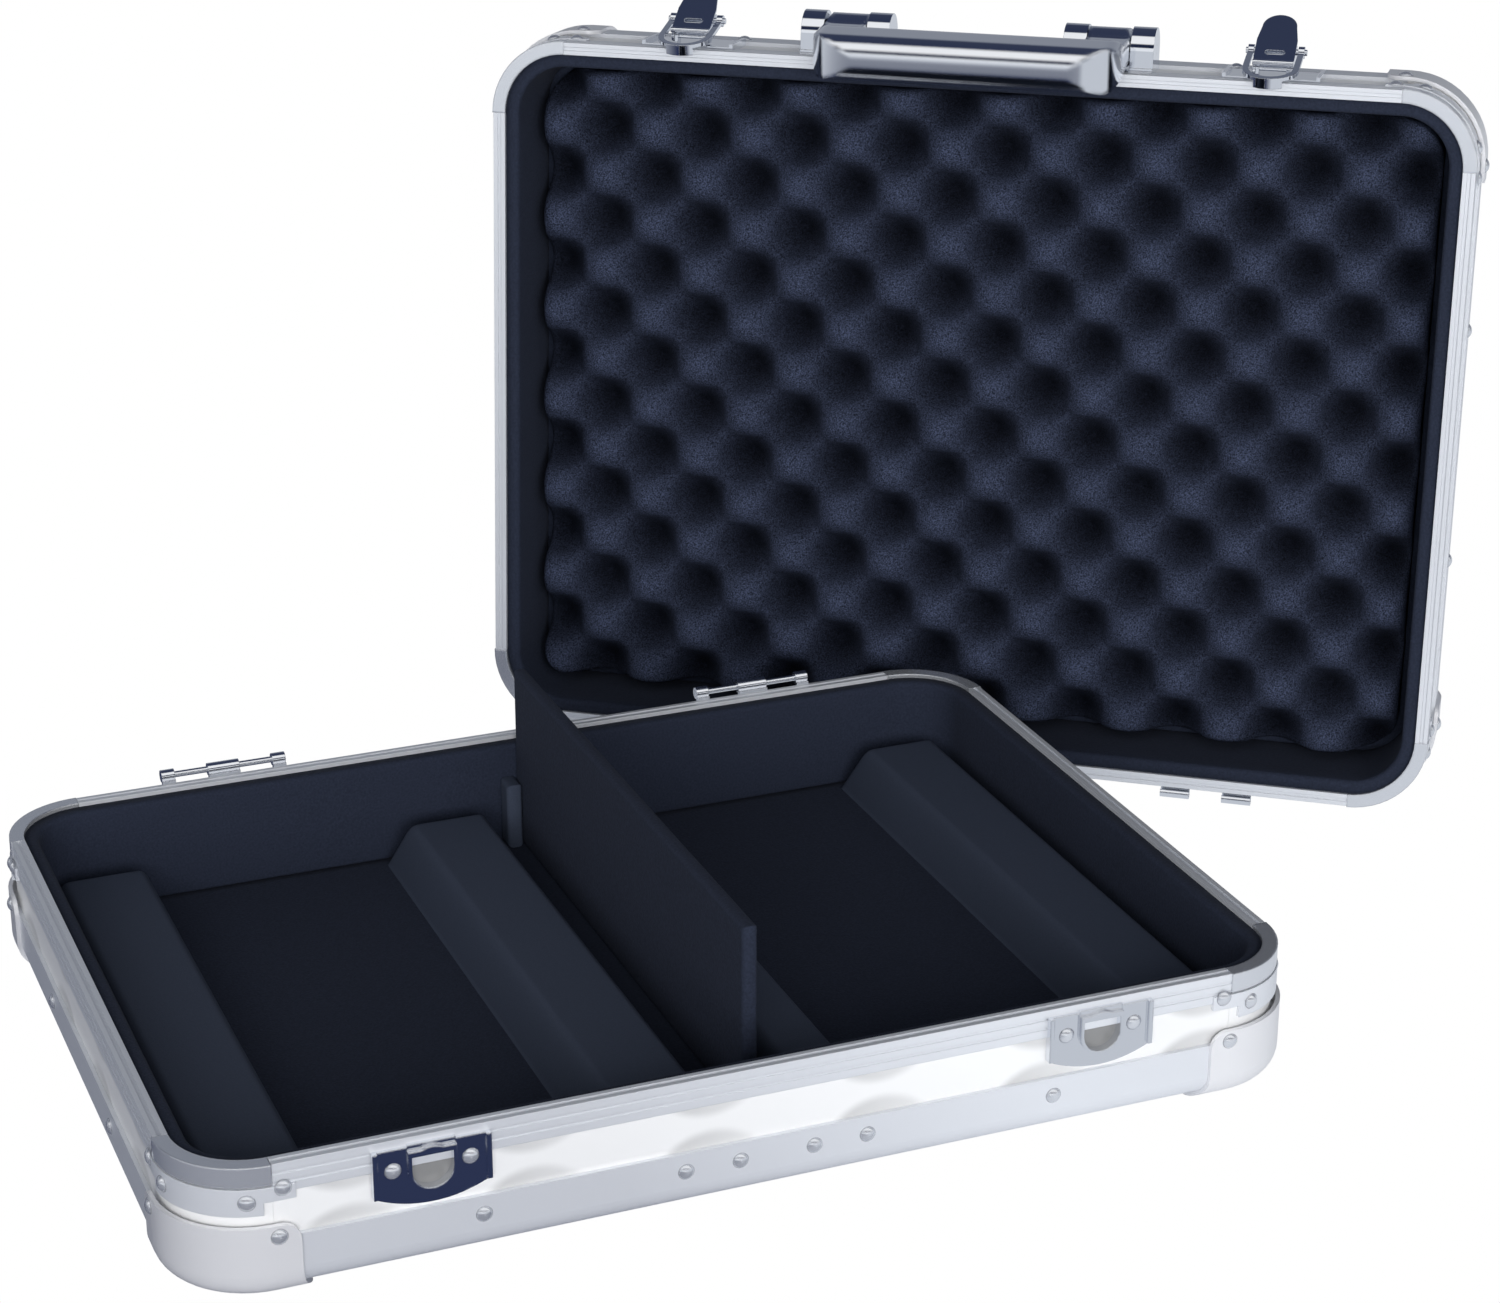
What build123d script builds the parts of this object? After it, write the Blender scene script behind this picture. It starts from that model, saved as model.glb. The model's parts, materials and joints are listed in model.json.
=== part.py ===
from build123d import *
from math import asin, atan2, cos, degrees, hypot, radians, sin
import os

# Outer shell of one half of the case, in millimetres
case_width = 500.0
case_depth = 368.0
half_height = 60.0
corner_radius = 38.0

# Boards and rails that make up the shell
board_thickness = 4.2
board_recess = 1.0
bottom_board_thickness = 3.0
rim_band_height = 13.0
rim_web_height = 4.0
rim_leg_thickness = 1.0
rim_inner_leg_height = 11.0
rim_top_groove_width = 1.8
rim_top_groove_depth = 0.8
rim_side_groove_width = 1.2
rim_side_groove_depth = 0.5
lower_rail_height = 27.5
lower_rail_proud = 1.0
lower_rail_edge_radius = 10.0
lower_rail_foot_width = 24.0
lower_rail_foot_thickness = 1.0
wall_board_foot_height = 9.0

# Stamped corner pieces
ball_sheet = 2.0
ball_edge_radius = 12.0
ball_reach = 48.0
ball_height = 34.0
ball_flare = 6.0
ball_flare_height = 14.0
ball_top_radius = 8.0
ball_underside_cut_radius = 36.0
rim_cap_height = 9.0
rim_cap_proud = 0.6
clip_sheet = 1.0
clip_band_below_rim = 9.5
clip_band_width = 12.0
clip_tab_below_rim = 5.7
clip_tab_width = 10.3
clip_tab_start = 34.0
clip_reach = 47.0

# Rivets
rivet_radius = 3.6
rivet_head_height = 1.8
rail_rivet_height = 19.0
front_rail_rivets = (16.5, 40.5, 127.0)
rear_rail_rivets = (40.5, 127.0)
side_rail_rivets = (60.0,)
ball_rivet_in = 39.0
ball_rivet_height = 29.0
clip_straight_rivet_in = 42.0
clip_straight_rivet_below_rim = 10.7
clip_curve_rivet_angle = 15.5
clip_curve_rivet_below_rim = 15.4

# Linings and foam
lining_inset = 13.0
lining_below_rim = 2.0
felt_thickness = 1.0
bar_height = 24.5
bar_slant = 10.0
bar_end_gap = 6.0
bar_1_width = 58.7
bar_2_left = -65.0
bar_2_width = 57.0
bar_3_left = 14.0
bar_3_width = 45.0
bar_4_width = 56.7
divider_thickness = 7.0
divider_left = 5.0
divider_front_gap = 37.0
divider_above_rim = 38.0
guide_width = 8.0
guide_depth = 12.0
guide_height = 34.0
fit = 0.3
foam_base = 12.0
foam_peak_height = 18.0
foam_pitch = 43.0
foam_peak_radius = 13.5
foam_peak_taper = 24.0
foam_side_margin = 0.5

# Hinges with lift-off hooks
hinge_offset = 139.0
hinge_axis_out = 4.0
hinge_axis_above_rim = 2.6
knuckle_radius = 3.0
rod_radius = 1.5
outer_knuckle = 6.5
middle_knuckle = 15.5
knuckle_gap = 16.5
hook_side_clearance = 0.75
hook_inner_radius = 1.6
hook_wall = 0.8
hook_plate_height = 12.0
leaf_thickness = 1.2

# Draw latches and the strikes that they catch
latch_offset = 148.0
latch_plate_width = 48.0
latch_plate_start = 6.0
plate_thickness = 1.4
plate_rib_width = 2.0
plate_rib_height = 3.0
lever_axis_in = 15.0
lever_axis_out = 5.0
lever_arm = 12.0
lever_length = 33.0
lever_root_width = 20.0
lever_tip_width = 17.0
lever_sheet = 1.4
lever_top = 4.8
lever_eye_radius = 3.2
lever_slot_width = 10.0
lever_slot_height = 3.0
lever_slot_at = 6.0
lever_open_angle = 35.0
ear_gap = 0.3
ear_thickness = 1.7
pin_radius = 1.5
pin_clearance = 0.08
loop_bar = 3.0
loop_gap = 0.8
loop_thickness = 2.0
loop_rest_angle = 15.0
loop_pin_overhang = 1.2
catch_below_rim = 7.6
claw_thickness = 2.1
claw_depth = 4.5
claw_half_width = 7.0
strike_width = 49.0
strike_start = 3.5
strike_end_gap = 2.2
strike_end_rise = 6.0
strike_pocket_radius = 8.6
strike_ring_wall = 1.4
strike_ring_height = 3.4
strike_lip_height = 5.0
strike_rivet_offset = 16.0
strike_rivet_below_rim = 13.0

# Carrying handle
handle_arm_inner = 56.0
handle_arm_outer = 77.6
handle_pivot_end_gap = 12.2
handle_pivot_out = 10.5
handle_barrel_radius = 9.6
handle_reach = 38.0
handle_arm_below = 4.0
handle_arm_above = 7.0
handle_grip_depth = 31.0
handle_grip_height = 23.0
handle_grip_round = 9.0
handle_corner_round = 24.0
handle_inner_round = 8.0
handle_end_round = 7.5
handle_droop = 8.0
foot_cheek = 11.6
foot_start = 6.0
foot_plate = 2.0
foot_cheek_radius = 10.5
handle_pin_radius = 2.5

# Where the loose lid stands behind the open base
lid_turn = -37.0
lid_gap = 0.399
lid_slide = 8.246

# Sizes that follow from the ones above
half_width = case_width / 2
half_depth = case_depth / 2
underside = ball_sheet
board_low = underside + lower_rail_foot_thickness
board_top = board_low + bottom_board_thickness
board_inner = board_recess + board_thickness
rim_thickness = board_inner + rim_leg_thickness
rim_low = half_height - rim_band_height
floor_top = board_top + felt_thickness
ball_out = lower_rail_proud + ball_sheet
clip_band_high = half_height - clip_band_below_rim
clip_band_low = clip_band_high - clip_band_width
clip_tab_high = half_height - clip_tab_below_rim
clip_tab_low = clip_tab_high - clip_tab_width
lining_top = half_height - lining_below_rim
bar_half_length = half_depth - lining_inset - bar_end_gap
bar_limit = half_width - lining_inset - fit
bar_spans = (
    (-bar_limit, bar_1_width - bar_limit),
    (bar_2_left, bar_2_left + bar_2_width),
    (bar_3_left, bar_3_left + bar_3_width),
    (bar_limit - bar_4_width, bar_limit),
)
divider_front = divider_front_gap + lining_inset - half_depth
divider_top = half_height + divider_above_rim
fittings_end = half_height - lower_rail_height - fit
strike_end = fittings_end - strike_end_gap
strike_side_end = strike_end - strike_end_rise
handle_pivot_in = fittings_end - handle_pivot_end_gap
hinge_axis_y = half_depth + hinge_axis_out
hook_outer_radius = hook_inner_radius + hook_wall
hook_axis_z = half_height - hinge_axis_above_rim
hinge_gap_centre = (middle_knuckle + knuckle_gap) / 2
loop_reach = lever_axis_in + lever_arm + catch_below_rim + claw_thickness
loop_outer = lever_root_width / 2 + loop_gap + loop_bar
far = 2 * case_width


def outline_in(inset):
    """The rounded outline of the case, set in from its outer faces."""
    return RectangleRounded(case_width - 2 * inset, case_depth - 2 * inset, corner_radius - inset)


def slab(inset, low, high):
    """A rounded block between two heights."""
    return Pos(0, 0, low) * extrude(outline_in(inset), high - low)


def ring(outer_inset, inner_inset, low, high):
    """A rounded wall between two outlines and two heights."""
    return Pos(0, 0, low) * extrude(outline_in(outer_inset) - outline_in(inner_inset), high - low)


def box_between(low, high):
    """A box given by its two opposite corners."""
    size = [b - a for a, b in zip(low, high)]
    centre = [(a + b) / 2 for a, b in zip(low, high)]
    return Pos(*centre) * Box(*size)


def corner_zone(reach):
    """The space around the front right corner of the case."""
    margin = corner_radius
    low = (half_width - reach, -half_depth - margin, -margin)
    high = (half_width + margin, -half_depth + reach, half_height + margin)
    return box_between(low, high)


def at_four_corners(shape):
    """The front right piece and its mirror images at the other corners."""
    right = [shape, mirror(shape, Plane.XZ)]
    return right + [mirror(piece, Plane.YZ) for piece in right]


def along_four_sides(profile):
    """Straight lengths of one profile; its X runs inward and its Y runs up."""
    front_length = case_width - 2 * corner_radius
    side_length = case_depth - 2 * corner_radius
    front_plane = Plane((-front_length / 2, -half_depth, 0), x_dir=(0, 1, 0), z_dir=(1, 0, 0))
    side_plane = Plane((-half_width, side_length / 2, 0), x_dir=(1, 0, 0), z_dir=(0, -1, 0))
    front = extrude(front_plane * profile, front_length)
    side = extrude(side_plane * profile, side_length)
    return [front, Rot(0, 0, 180) * front, side, Rot(0, 0, 180) * side]


def solids_of(shape):
    """All solids of a shape or of a list of shapes."""
    if isinstance(shape, (list, tuple)):
        return [solid for piece in shape for solid in solids_of(piece)]
    return list(shape.solids())


def rim_profile():
    """The channel rail that caps the wall board, grooved outside and on top."""
    band = Pos(rim_thickness / 2, half_height - rim_band_height / 2)
    body = band * Rectangle(rim_thickness, rim_band_height)
    channel_height = rim_band_height - rim_web_height
    channel_place = Pos(board_recess + board_thickness / 2, rim_low + channel_height / 2)
    body -= channel_place * Rectangle(board_thickness, channel_height)
    leg_cut = rim_band_height - rim_inner_leg_height
    leg_place = Pos(rim_thickness - rim_leg_thickness / 2, rim_low + leg_cut / 2)
    body -= leg_place * Rectangle(rim_leg_thickness, leg_cut)
    top_place = Pos(rim_thickness / 2, half_height - rim_top_groove_depth / 2)
    body -= top_place * Rectangle(rim_top_groove_width, rim_top_groove_depth)
    for share in (1 / 3, 2 / 3):
        place = Pos(rim_side_groove_depth / 2, rim_low + share * rim_band_height)
        body -= place * Rectangle(rim_side_groove_depth, rim_side_groove_width)
    return body


def lower_rail_profile():
    """The angle rail with a rounded edge that wraps the lower edge of the wall."""
    outer = -lower_rail_proud
    round_centre_in = outer + lower_rail_edge_radius
    round_centre_up = underside + lower_rail_edge_radius
    diagonal = lower_rail_edge_radius * cos(radians(45))
    middle = (round_centre_in - diagonal, round_centre_up - diagonal)
    inner_points = [
        (outer, round_centre_up),
        (outer, lower_rail_height),
        (board_recess, lower_rail_height),
        (board_recess, wall_board_foot_height),
        (board_inner, wall_board_foot_height),
        (board_inner, board_low),
        (lower_rail_foot_width, board_low),
        (lower_rail_foot_width, underside),
        (round_centre_in, underside),
    ]
    edge = Polyline(*inner_points) + ThreePointArc(inner_points[-1], middle, inner_points[0])
    return make_face(edge)


def rail_envelope(high):
    """The solid space inside the outer faces of the lower rails."""
    block = slab(-lower_rail_proud, underside, high)
    return fillet(block.faces().sort_by(Axis.Z)[0].edges(), lower_rail_edge_radius)


def panel_board():
    """The large board that closes the outer face of one half."""
    return [slab(board_inner, board_low, board_top)]


def wall_boards():
    """The four straight wall boards, held between lower rail and rim rail."""
    height = half_height - rim_web_height - wall_board_foot_height
    place = Pos(board_recess + board_thickness / 2, wall_board_foot_height + height / 2)
    return along_four_sides(place * Rectangle(board_thickness, height))


def corner_blocks():
    """The four curved corner walls with their rounded lower part."""
    lower = rail_envelope(lower_rail_height) - slab(board_inner, 0, half_height)
    upper = ring(board_recess, board_inner, lower_rail_height, half_height - rim_cap_height)
    quarter = (lower + upper) & corner_zone(corner_radius)
    return at_four_corners(quarter)


def rim_rails():
    """The four straight rim rails."""
    return along_four_sides(rim_profile())


def rim_caps():
    """The bright caps that join the rim rails around the corners."""
    cap = ring(-rim_cap_proud, rim_thickness, half_height - rim_cap_height, half_height)
    return at_four_corners(cap & corner_zone(corner_radius))


def lower_rails():
    """The four straight lower edge rails."""
    return along_four_sides(lower_rail_profile())


def ball_outline():
    """Side view of a ball corner: rounded top corner and a flare at the foot."""
    reach = ball_reach
    top = ball_height
    start = -corner_radius
    foot = (reach + ball_flare, 0)
    shoulder = (reach, ball_flare_height)
    curve = Bezier(foot, (reach + ball_flare / 4, ball_sheet), (reach, ball_flare_height / 2), shoulder)
    side = Line(shoulder, (reach, top - ball_top_radius))
    bend = RadiusArc(side @ 1, (reach - ball_top_radius, top), -ball_top_radius)
    back = Polyline(bend @ 1, (start, top), (start, -ball_sheet), (foot[0], -ball_sheet), foot)
    return make_face(curve + side + bend + back)


def ball_corners():
    """The four stamped ball corners over the lower edges."""
    outer = slab(-ball_out, 0, ball_height)
    outer = fillet(outer.faces().sort_by(Axis.Z)[0].edges(), ball_edge_radius)
    shell = (outer - rail_envelope(half_height)) & corner_zone(ball_reach + ball_flare)
    outline = ball_outline()
    front_plane = Plane((half_width, -half_depth + far / 2, 0), x_dir=(-1, 0, 0), z_dir=(0, 1, 0))
    side_plane = Plane((half_width - far / 2, -half_depth, 0), x_dir=(0, 1, 0), z_dir=(1, 0, 0))
    shell &= extrude(front_plane * outline, -far)
    shell &= extrude(side_plane * outline, far)
    cut_in = ball_reach + ball_edge_radius
    cut_place = Pos(half_width - cut_in, -half_depth + cut_in, ball_sheet / 2)
    shell -= cut_place * Cylinder(ball_underside_cut_radius, 2 * ball_sheet)
    return at_four_corners(shell)


def clip_outline():
    """Side view of a corner clip: a band with a raised tab at its end."""
    start = -corner_radius
    points = [
        (start, clip_band_low),
        (clip_tab_start, clip_band_low),
        (clip_tab_start, clip_tab_low),
        (clip_reach, clip_tab_low),
        (clip_reach, clip_tab_high),
        (clip_tab_start, clip_tab_high),
        (clip_tab_start, clip_band_high),
        (start, clip_band_high),
    ]
    return make_face(Polyline(*points, close=True))


def corner_clips():
    """The four plates bent around the corners below the rim."""
    band = ring(-clip_sheet, board_recess, clip_band_low, clip_tab_high) & corner_zone(clip_reach)
    outline = clip_outline()
    front_plane = Plane((half_width, -half_depth + far / 2, 0), x_dir=(-1, 0, 0), z_dir=(0, 1, 0))
    side_plane = Plane((half_width - far / 2, -half_depth, 0), x_dir=(0, 1, 0), z_dir=(1, 0, 0))
    band &= extrude(front_plane * outline, -far)
    band &= extrude(side_plane * outline, far)
    rail_start = corner_radius
    long_run = (half_width - rail_start, -half_depth, rim_low)
    band -= box_between((0, -half_depth, rim_low), (long_run[0], 0, half_height))
    band -= box_between((0, -half_depth + rail_start, rim_low), (half_width, 0, half_height))
    return at_four_corners(band)


def rivet_head():
    """One domed rivet head that stands on a surface and points along +Z."""
    rise = rivet_head_height
    dome_radius = (rivet_radius ** 2 + rise ** 2) / (2 * rise)
    dome = Pos(0, 0, rise - dome_radius) * Sphere(dome_radius)
    return dome & Pos(0, 0, rise) * Box(3 * rivet_radius, 3 * rivet_radius, 2 * rise)


def rivet_at(point, outward):
    """A rivet head on a wall of the case."""
    return Plane(origin=point, z_dir=outward).location * rivet_head()


def rail_rivets():
    """Rivets along the four lower rails."""
    rows = ((front_rail_rivets, -1), (rear_rail_rivets, 1))
    out = lower_rail_proud
    heads = []
    for places, side in rows:
        for along in places:
            for sign in (-1, 1):
                point = (sign * along, side * (half_depth + out), rail_rivet_height)
                heads.append(rivet_at(point, (0, side, 0)))
    for along in side_rail_rivets:
        for side in (-1, 1):
            for sign in (-1, 1):
                point = (side * (half_width + out), sign * along, rail_rivet_height)
                heads.append(rivet_at(point, (side, 0, 0)))
    return heads


def curve_rivet(angle, height, out):
    """A rivet on the rounded front right corner, turned from the front wall."""
    direction = (sin(radians(angle)), -cos(radians(angle)), 0)
    radius = corner_radius + out
    x = half_width - corner_radius + radius * direction[0]
    y = -half_depth + corner_radius + radius * direction[1]
    return rivet_at((x, y, height), direction)


def corner_rivets():
    """Rivets of the ball corners and of the corner clips."""
    straight = (
        (ball_rivet_in, ball_rivet_height, ball_out),
        (clip_straight_rivet_in, half_height - clip_straight_rivet_below_rim, clip_sheet),
    )
    heads = []
    for inward, height, out in straight:
        heads.append(rivet_at((half_width - inward, -half_depth - out, height), (0, -1, 0)))
        heads.append(rivet_at((half_width + out, -half_depth + inward, height), (1, 0, 0)))
    for angle in (clip_curve_rivet_angle, 90 - clip_curve_rivet_angle):
        heads.append(curve_rivet(angle, half_height - clip_curve_rivet_below_rim, clip_sheet))
    return [piece for head in heads for piece in at_four_corners(head)]


def strike_rivets():
    """Rivets that hold the two strike plates of the base."""
    heads = []
    for centre in (-latch_offset, latch_offset):
        for sign in (-1, 1):
            x = centre + sign * strike_rivet_offset
            height = half_height - strike_rivet_below_rim
            heads.append(rivet_at((x, -half_depth - plate_thickness, height), (0, -1, 0)))
    return heads


def wall_lining():
    """The padded lining that runs around the inside of the walls."""
    step = half_height - rim_inner_leg_height
    lower = ring(board_inner, lining_inset, board_top, step)
    upper = ring(rim_thickness, lining_inset, step, lining_top)
    return [lower + upper]


def panel_felt():
    """The thin cloth on the inside of the large board."""
    return [slab(lining_inset, board_top, floor_top)]


def shell_pieces():
    """Every piece that both halves share, by name, in the frame of one half."""
    return {
        "panel_board": panel_board(),
        "wall_boards": wall_boards(),
        "corner_blocks": corner_blocks(),
        "rim_rails": rim_rails(),
        "rim_caps": rim_caps(),
        "lower_rails": lower_rails(),
        "ball_corners": ball_corners(),
        "corner_clips": corner_clips(),
        "rivets": rail_rivets() + corner_rivets(),
        "wall_lining": wall_lining(),
        "panel_felt": panel_felt(),
    }


def foam_bar(left, right):
    """One foam bar with slanted sides and ends, resting on the felt between the linings."""
    base_place = Plane.XY.offset(floor_top)
    top_place = Plane.XY.offset(floor_top + bar_height)
    centre = (left + right) / 2
    width = right - left
    length = 2 * bar_half_length
    base = base_place * Pos(centre, 0) * Rectangle(width, length)
    top = top_place * Pos(centre, 0) * Rectangle(width - 2 * bar_slant, length - 2 * bar_slant)
    return loft([base, top]) & slab(lining_inset, floor_top, half_height)


def divider():
    """The loose divider board between the two compartments."""
    rear = half_depth - lining_inset - fit
    low = (divider_left, divider_front, floor_top + fit)
    return box_between(low, (divider_left + divider_thickness, rear, divider_top))


def divider_guide():
    """The foam guide beside the rear end of the divider."""
    right = divider_left - fit
    rear = half_depth - lining_inset
    high = (right, rear, floor_top + guide_height)
    return box_between((right - guide_width, rear - guide_depth, floor_top), high)


def foam_peaks():
    """Where the foam peaks stand: a staggered grid that stays inside the sheet."""
    limit_x = half_width - lining_inset - foam_peak_radius
    limit_y = half_depth - lining_inset - foam_peak_radius
    step = foam_pitch / 2
    columns = int(limit_x // step)
    rows = int(limit_y // step)
    spots = []
    for column in range(-columns, columns + 1):
        for row in range(-rows, rows + 1):
            if (column + row) % 2 == 0:
                spots.append((column * step, row * step))
    return spots


def egg_crate_foam():
    """The convoluted foam pad of the lid: a sheet with rows of rounded peaks."""
    sheet = slab(lining_inset + foam_side_margin, floor_top, floor_top + foam_base)
    top = Plane.XY.offset(floor_top + foam_base)
    side = 2 * foam_peak_radius * sin(radians(45))
    peaks = Sketch() + [Pos(x, y) * Rectangle(side, side, rotation=45) for x, y in foam_peaks()]
    bumps = extrude(top * peaks, foam_peak_height, taper=foam_peak_taper)
    return sheet + bumps


def hinge_knuckles():
    """Where the three knuckles of a base hinge stand and how long they are."""
    side = hinge_gap_centre + (knuckle_gap + outer_knuckle) / 2
    return ((-side, outer_knuckle), (0, middle_knuckle), (side, outer_knuckle))


def hinge_rod(centre):
    """The rod through the knuckles of one hinge."""
    length = middle_knuckle + 2 * knuckle_gap + 2 * outer_knuckle
    axis_z = half_height + hinge_axis_above_rim
    return Pos(centre, hinge_axis_y, axis_z) * Rot(0, 90, 0) * Cylinder(rod_radius, length)


def hinge_leaf(centre):
    """The base leaf of one hinge with its three knuckles."""
    axis_z = half_height + hinge_axis_above_rim
    length = middle_knuckle + 2 * knuckle_gap + 2 * outer_knuckle
    low = (centre - length / 2, half_depth, rim_low)
    leaf = box_between(low, (centre + length / 2, half_depth + leaf_thickness, half_height - leaf_thickness))
    for offset, width in hinge_knuckles():
        left = centre + offset - width / 2
        leaf += Pos(centre + offset, hinge_axis_y, axis_z) * Rot(0, 90, 0) * Cylinder(knuckle_radius, width)
        web_low = (left, half_depth, half_height - 2 * leaf_thickness)
        web_high = (left + width, hinge_axis_y - rod_radius, half_height + leaf_thickness)
        leaf += box_between(web_low, web_high)
    return leaf - hinge_rod(centre)


def hook_profile():
    """Side view of a lid hook; X runs out from the wall and Y toward the rim."""
    axis = (hinge_axis_out, hook_axis_z)
    opening = 2 * hook_outer_radius
    curl = Pos(*axis) * (Circle(hook_outer_radius) - Circle(hook_inner_radius))
    curl -= Pos(axis[0] - opening / 2, axis[1]) * Rectangle(opening, 2 * hook_inner_radius * cos(radians(45)))
    arm_y = axis[1] - hook_outer_radius + hook_wall / 2
    arm = Pos(axis[0] / 2, arm_y) * Rectangle(axis[0], hook_wall)
    plate_low = axis[1] - hook_inner_radius - hook_plate_height
    plate = Pos(hook_wall / 2, plate_low + hook_plate_height / 2) * Rectangle(hook_wall, hook_plate_height)
    return curl + arm + plate


def hinge_hooks(centre):
    """The two hooks of one lid hinge, in the frame of the lid half."""
    width = knuckle_gap - 2 * hook_side_clearance
    hooks = []
    for sign in (-1, 1):
        start = centre + sign * hinge_gap_centre - width / 2
        plane = Plane((start, half_depth, 0), x_dir=(0, 1, 0), z_dir=(1, 0, 0))
        hooks += solids_of(extrude(plane * hook_profile(), width))
    return hooks


def on_front_wall(shape, along):
    """Places a fitting on the front wall; Y runs in from the rim, Z outward."""
    plane = Plane((along, -half_depth, half_height), x_dir=(-1, 0, 0), z_dir=(0, -1, 0))
    return plane.location * shape


def wall_plate(left, right, start, end, thickness):
    """A plate on the rim rail that also reaches down to the recessed board."""
    plate = box_between((left, start, 0), (right, end, thickness))
    return plate + box_between((left, rim_band_height, -board_recess), (right, end, 0))


def strike_outline():
    """Front view of a strike plate; Y runs down from the rim."""
    half = strike_width / 2
    top = strike_start
    side = strike_side_end
    sides = Polyline((half, side), (half, top), (-half, top), (-half, side))
    return make_face(sides + ThreePointArc((-half, side), (0, strike_end), (half, side)))


def strike_bow(radius):
    """The D-shaped outline around the pocket of a strike."""
    round_y = strike_side_end - strike_pocket_radius - strike_ring_wall
    straight = round_y - catch_below_rim
    body = Pos(0, round_y - straight / 2) * Rectangle(2 * radius, straight)
    lower = Pos(0, round_y) * Circle(radius)
    return body + lower


def strike():
    """A strike plate with its D-shaped pocket, raised ribs and stepped lip."""
    outline = strike_outline()
    plate = extrude(outline, plate_thickness)
    deep = outline & Pos(0, rim_band_height + case_depth / 2) * Rectangle(case_width, case_depth)
    plate += Pos(0, 0, -board_recess) * extrude(deep, board_recess)
    pocket = strike_bow(strike_pocket_radius)
    plate += extrude(strike_bow(strike_pocket_radius + strike_ring_wall), strike_ring_height)
    plate -= Pos(0, 0, -board_recess) * extrude(pocket, far)
    lip_half = strike_pocket_radius + strike_ring_wall
    for share in (1, 0.5):
        low = catch_below_rim - share * strike_lip_height
        depth = strike_ring_height * (1.5 - share)
        lip_top = (lip_half, catch_below_rim, min(depth, strike_ring_height))
        plate += box_between((-lip_half, max(low, 0), 0), lip_top)
    half = strike_width / 2
    for left in (-half, half - plate_rib_width):
        high = (left + plate_rib_width, strike_side_end, plate_rib_height)
        plate += box_between((left, strike_start, 0), high)
    return plate


def latch_plate():
    """The plate of a latch with raised end ribs and two ears for the lever."""
    half = latch_plate_width / 2
    plate = wall_plate(-half, half, latch_plate_start, fittings_end, plate_thickness)
    for left in (-half, half - plate_rib_width):
        low = (left, latch_plate_start, 0)
        plate += box_between(low, (left + plate_rib_width, fittings_end, plate_rib_height))
    ear_outer = lever_root_width / 2 - lever_sheet - ear_gap
    ear = Pos(0, lever_axis_in, lever_axis_out) * Rot(0, 90, 0) * Cylinder(lever_eye_radius - ear_gap, ear_thickness)
    ear_low = (-ear_thickness / 2, lever_axis_in - lever_eye_radius + ear_gap, 0)
    ear_high = (ear_thickness / 2, lever_axis_in + lever_eye_radius - ear_gap, lever_axis_out)
    ear += box_between(ear_low, ear_high)
    for sign in (-1, 1):
        plate += Pos(sign * (ear_outer - ear_thickness / 2), 0, 0) * ear
    return plate - lever_pin()


def lever_pin():
    """The pin that the lever turns on."""
    place = Pos(0, lever_axis_in, lever_axis_out)
    return place * Rot(0, 90, 0) * Cylinder(pin_radius, lever_root_width)


def lever_blade():
    """Top view of the lever: wide root, tapering blade and half-round tip."""
    root = lever_root_width / 2
    tip = lever_tip_width / 2
    tip_centre = lever_length - tip
    taper_start = lever_arm + lever_eye_radius
    front = -lever_sheet
    right = Polyline((root, front), (root, taper_start), (tip, tip_centre))
    left = Polyline((-tip, tip_centre), (-root, taper_start), (-root, front), (root, front))
    end = ThreePointArc((tip, tip_centre), (0, lever_length), (-tip, tip_centre))
    blade = make_face(right + end + left)
    return blade - Pos(0, lever_slot_at) * SlotOverall(lever_slot_width, lever_slot_height)


def lever():
    """The latch lever, drawn shut, with its pivot at the origin."""
    body = Pos(0, 0, lever_top - lever_sheet) * extrude(lever_blade(), lever_sheet)
    body += Pos(0, -lever_sheet, lever_top) * Rot(0, 90, 0) * Cylinder(lever_sheet, lever_root_width)
    eyes = Pos(lever_arm / 2, 0) * SlotCenterToCenter(lever_arm, 2 * lever_eye_radius)
    web_height = lever_top - lever_sheet
    web = Pos(lever_arm / 2, web_height / 2) * Rectangle(lever_arm, web_height)
    cheek = extrude(Plane.YZ * (eyes + web), lever_sheet)
    for start in (-lever_root_width / 2, lever_root_width / 2 - lever_sheet):
        body += Pos(start, 0, 0) * cheek
    body -= Rot(0, 90, 0) * Cylinder(pin_radius + pin_clearance, far)
    return body - Pos(0, lever_arm, 0) * Rot(0, 90, 0) * Cylinder(pin_radius, far)


def loop_outline(half, reach, back):
    """Top view of the loop: straight sides and a round end."""
    straight = reach - half
    sides = Pos(0, (back - straight) / 2) * Rectangle(2 * half, back + straight)
    return sides + Pos(0, -straight) * Circle(half)


def loop():
    """The draw loop with its claw; its pivot on the lever is at the origin."""
    inner = loop_outer - loop_bar
    shape = loop_outline(loop_outer, loop_reach, 0)
    hole = loop_outline(inner, loop_reach - loop_bar, lever_eye_radius)
    bow = Pos(0, 0, -loop_thickness / 2) * extrude(shape - hole, loop_thickness)
    claw_low = (-claw_half_width, -loop_reach, -claw_depth)
    claw_high = (claw_half_width, claw_thickness - loop_reach, loop_thickness / 2)
    full = Pos(0, 0, -claw_depth) * extrude(shape, claw_depth + loop_thickness / 2)
    bow += box_between(claw_low, claw_high) & full
    eye = Rot(0, 90, 0) * Cylinder(lever_eye_radius - ear_gap, loop_bar)
    for sign in (-1, 1):
        bow += Pos(sign * (loop_outer - loop_bar / 2), 0, 0) * eye
    return bow - Rot(0, 90, 0) * Cylinder(pin_radius + pin_clearance, far)


def loop_pin():
    """The pin that joins the loop to the lever."""
    length = 2 * (loop_outer + loop_pin_overhang)
    return Rot(0, 90, 0) * Cylinder(pin_radius, length)


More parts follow.
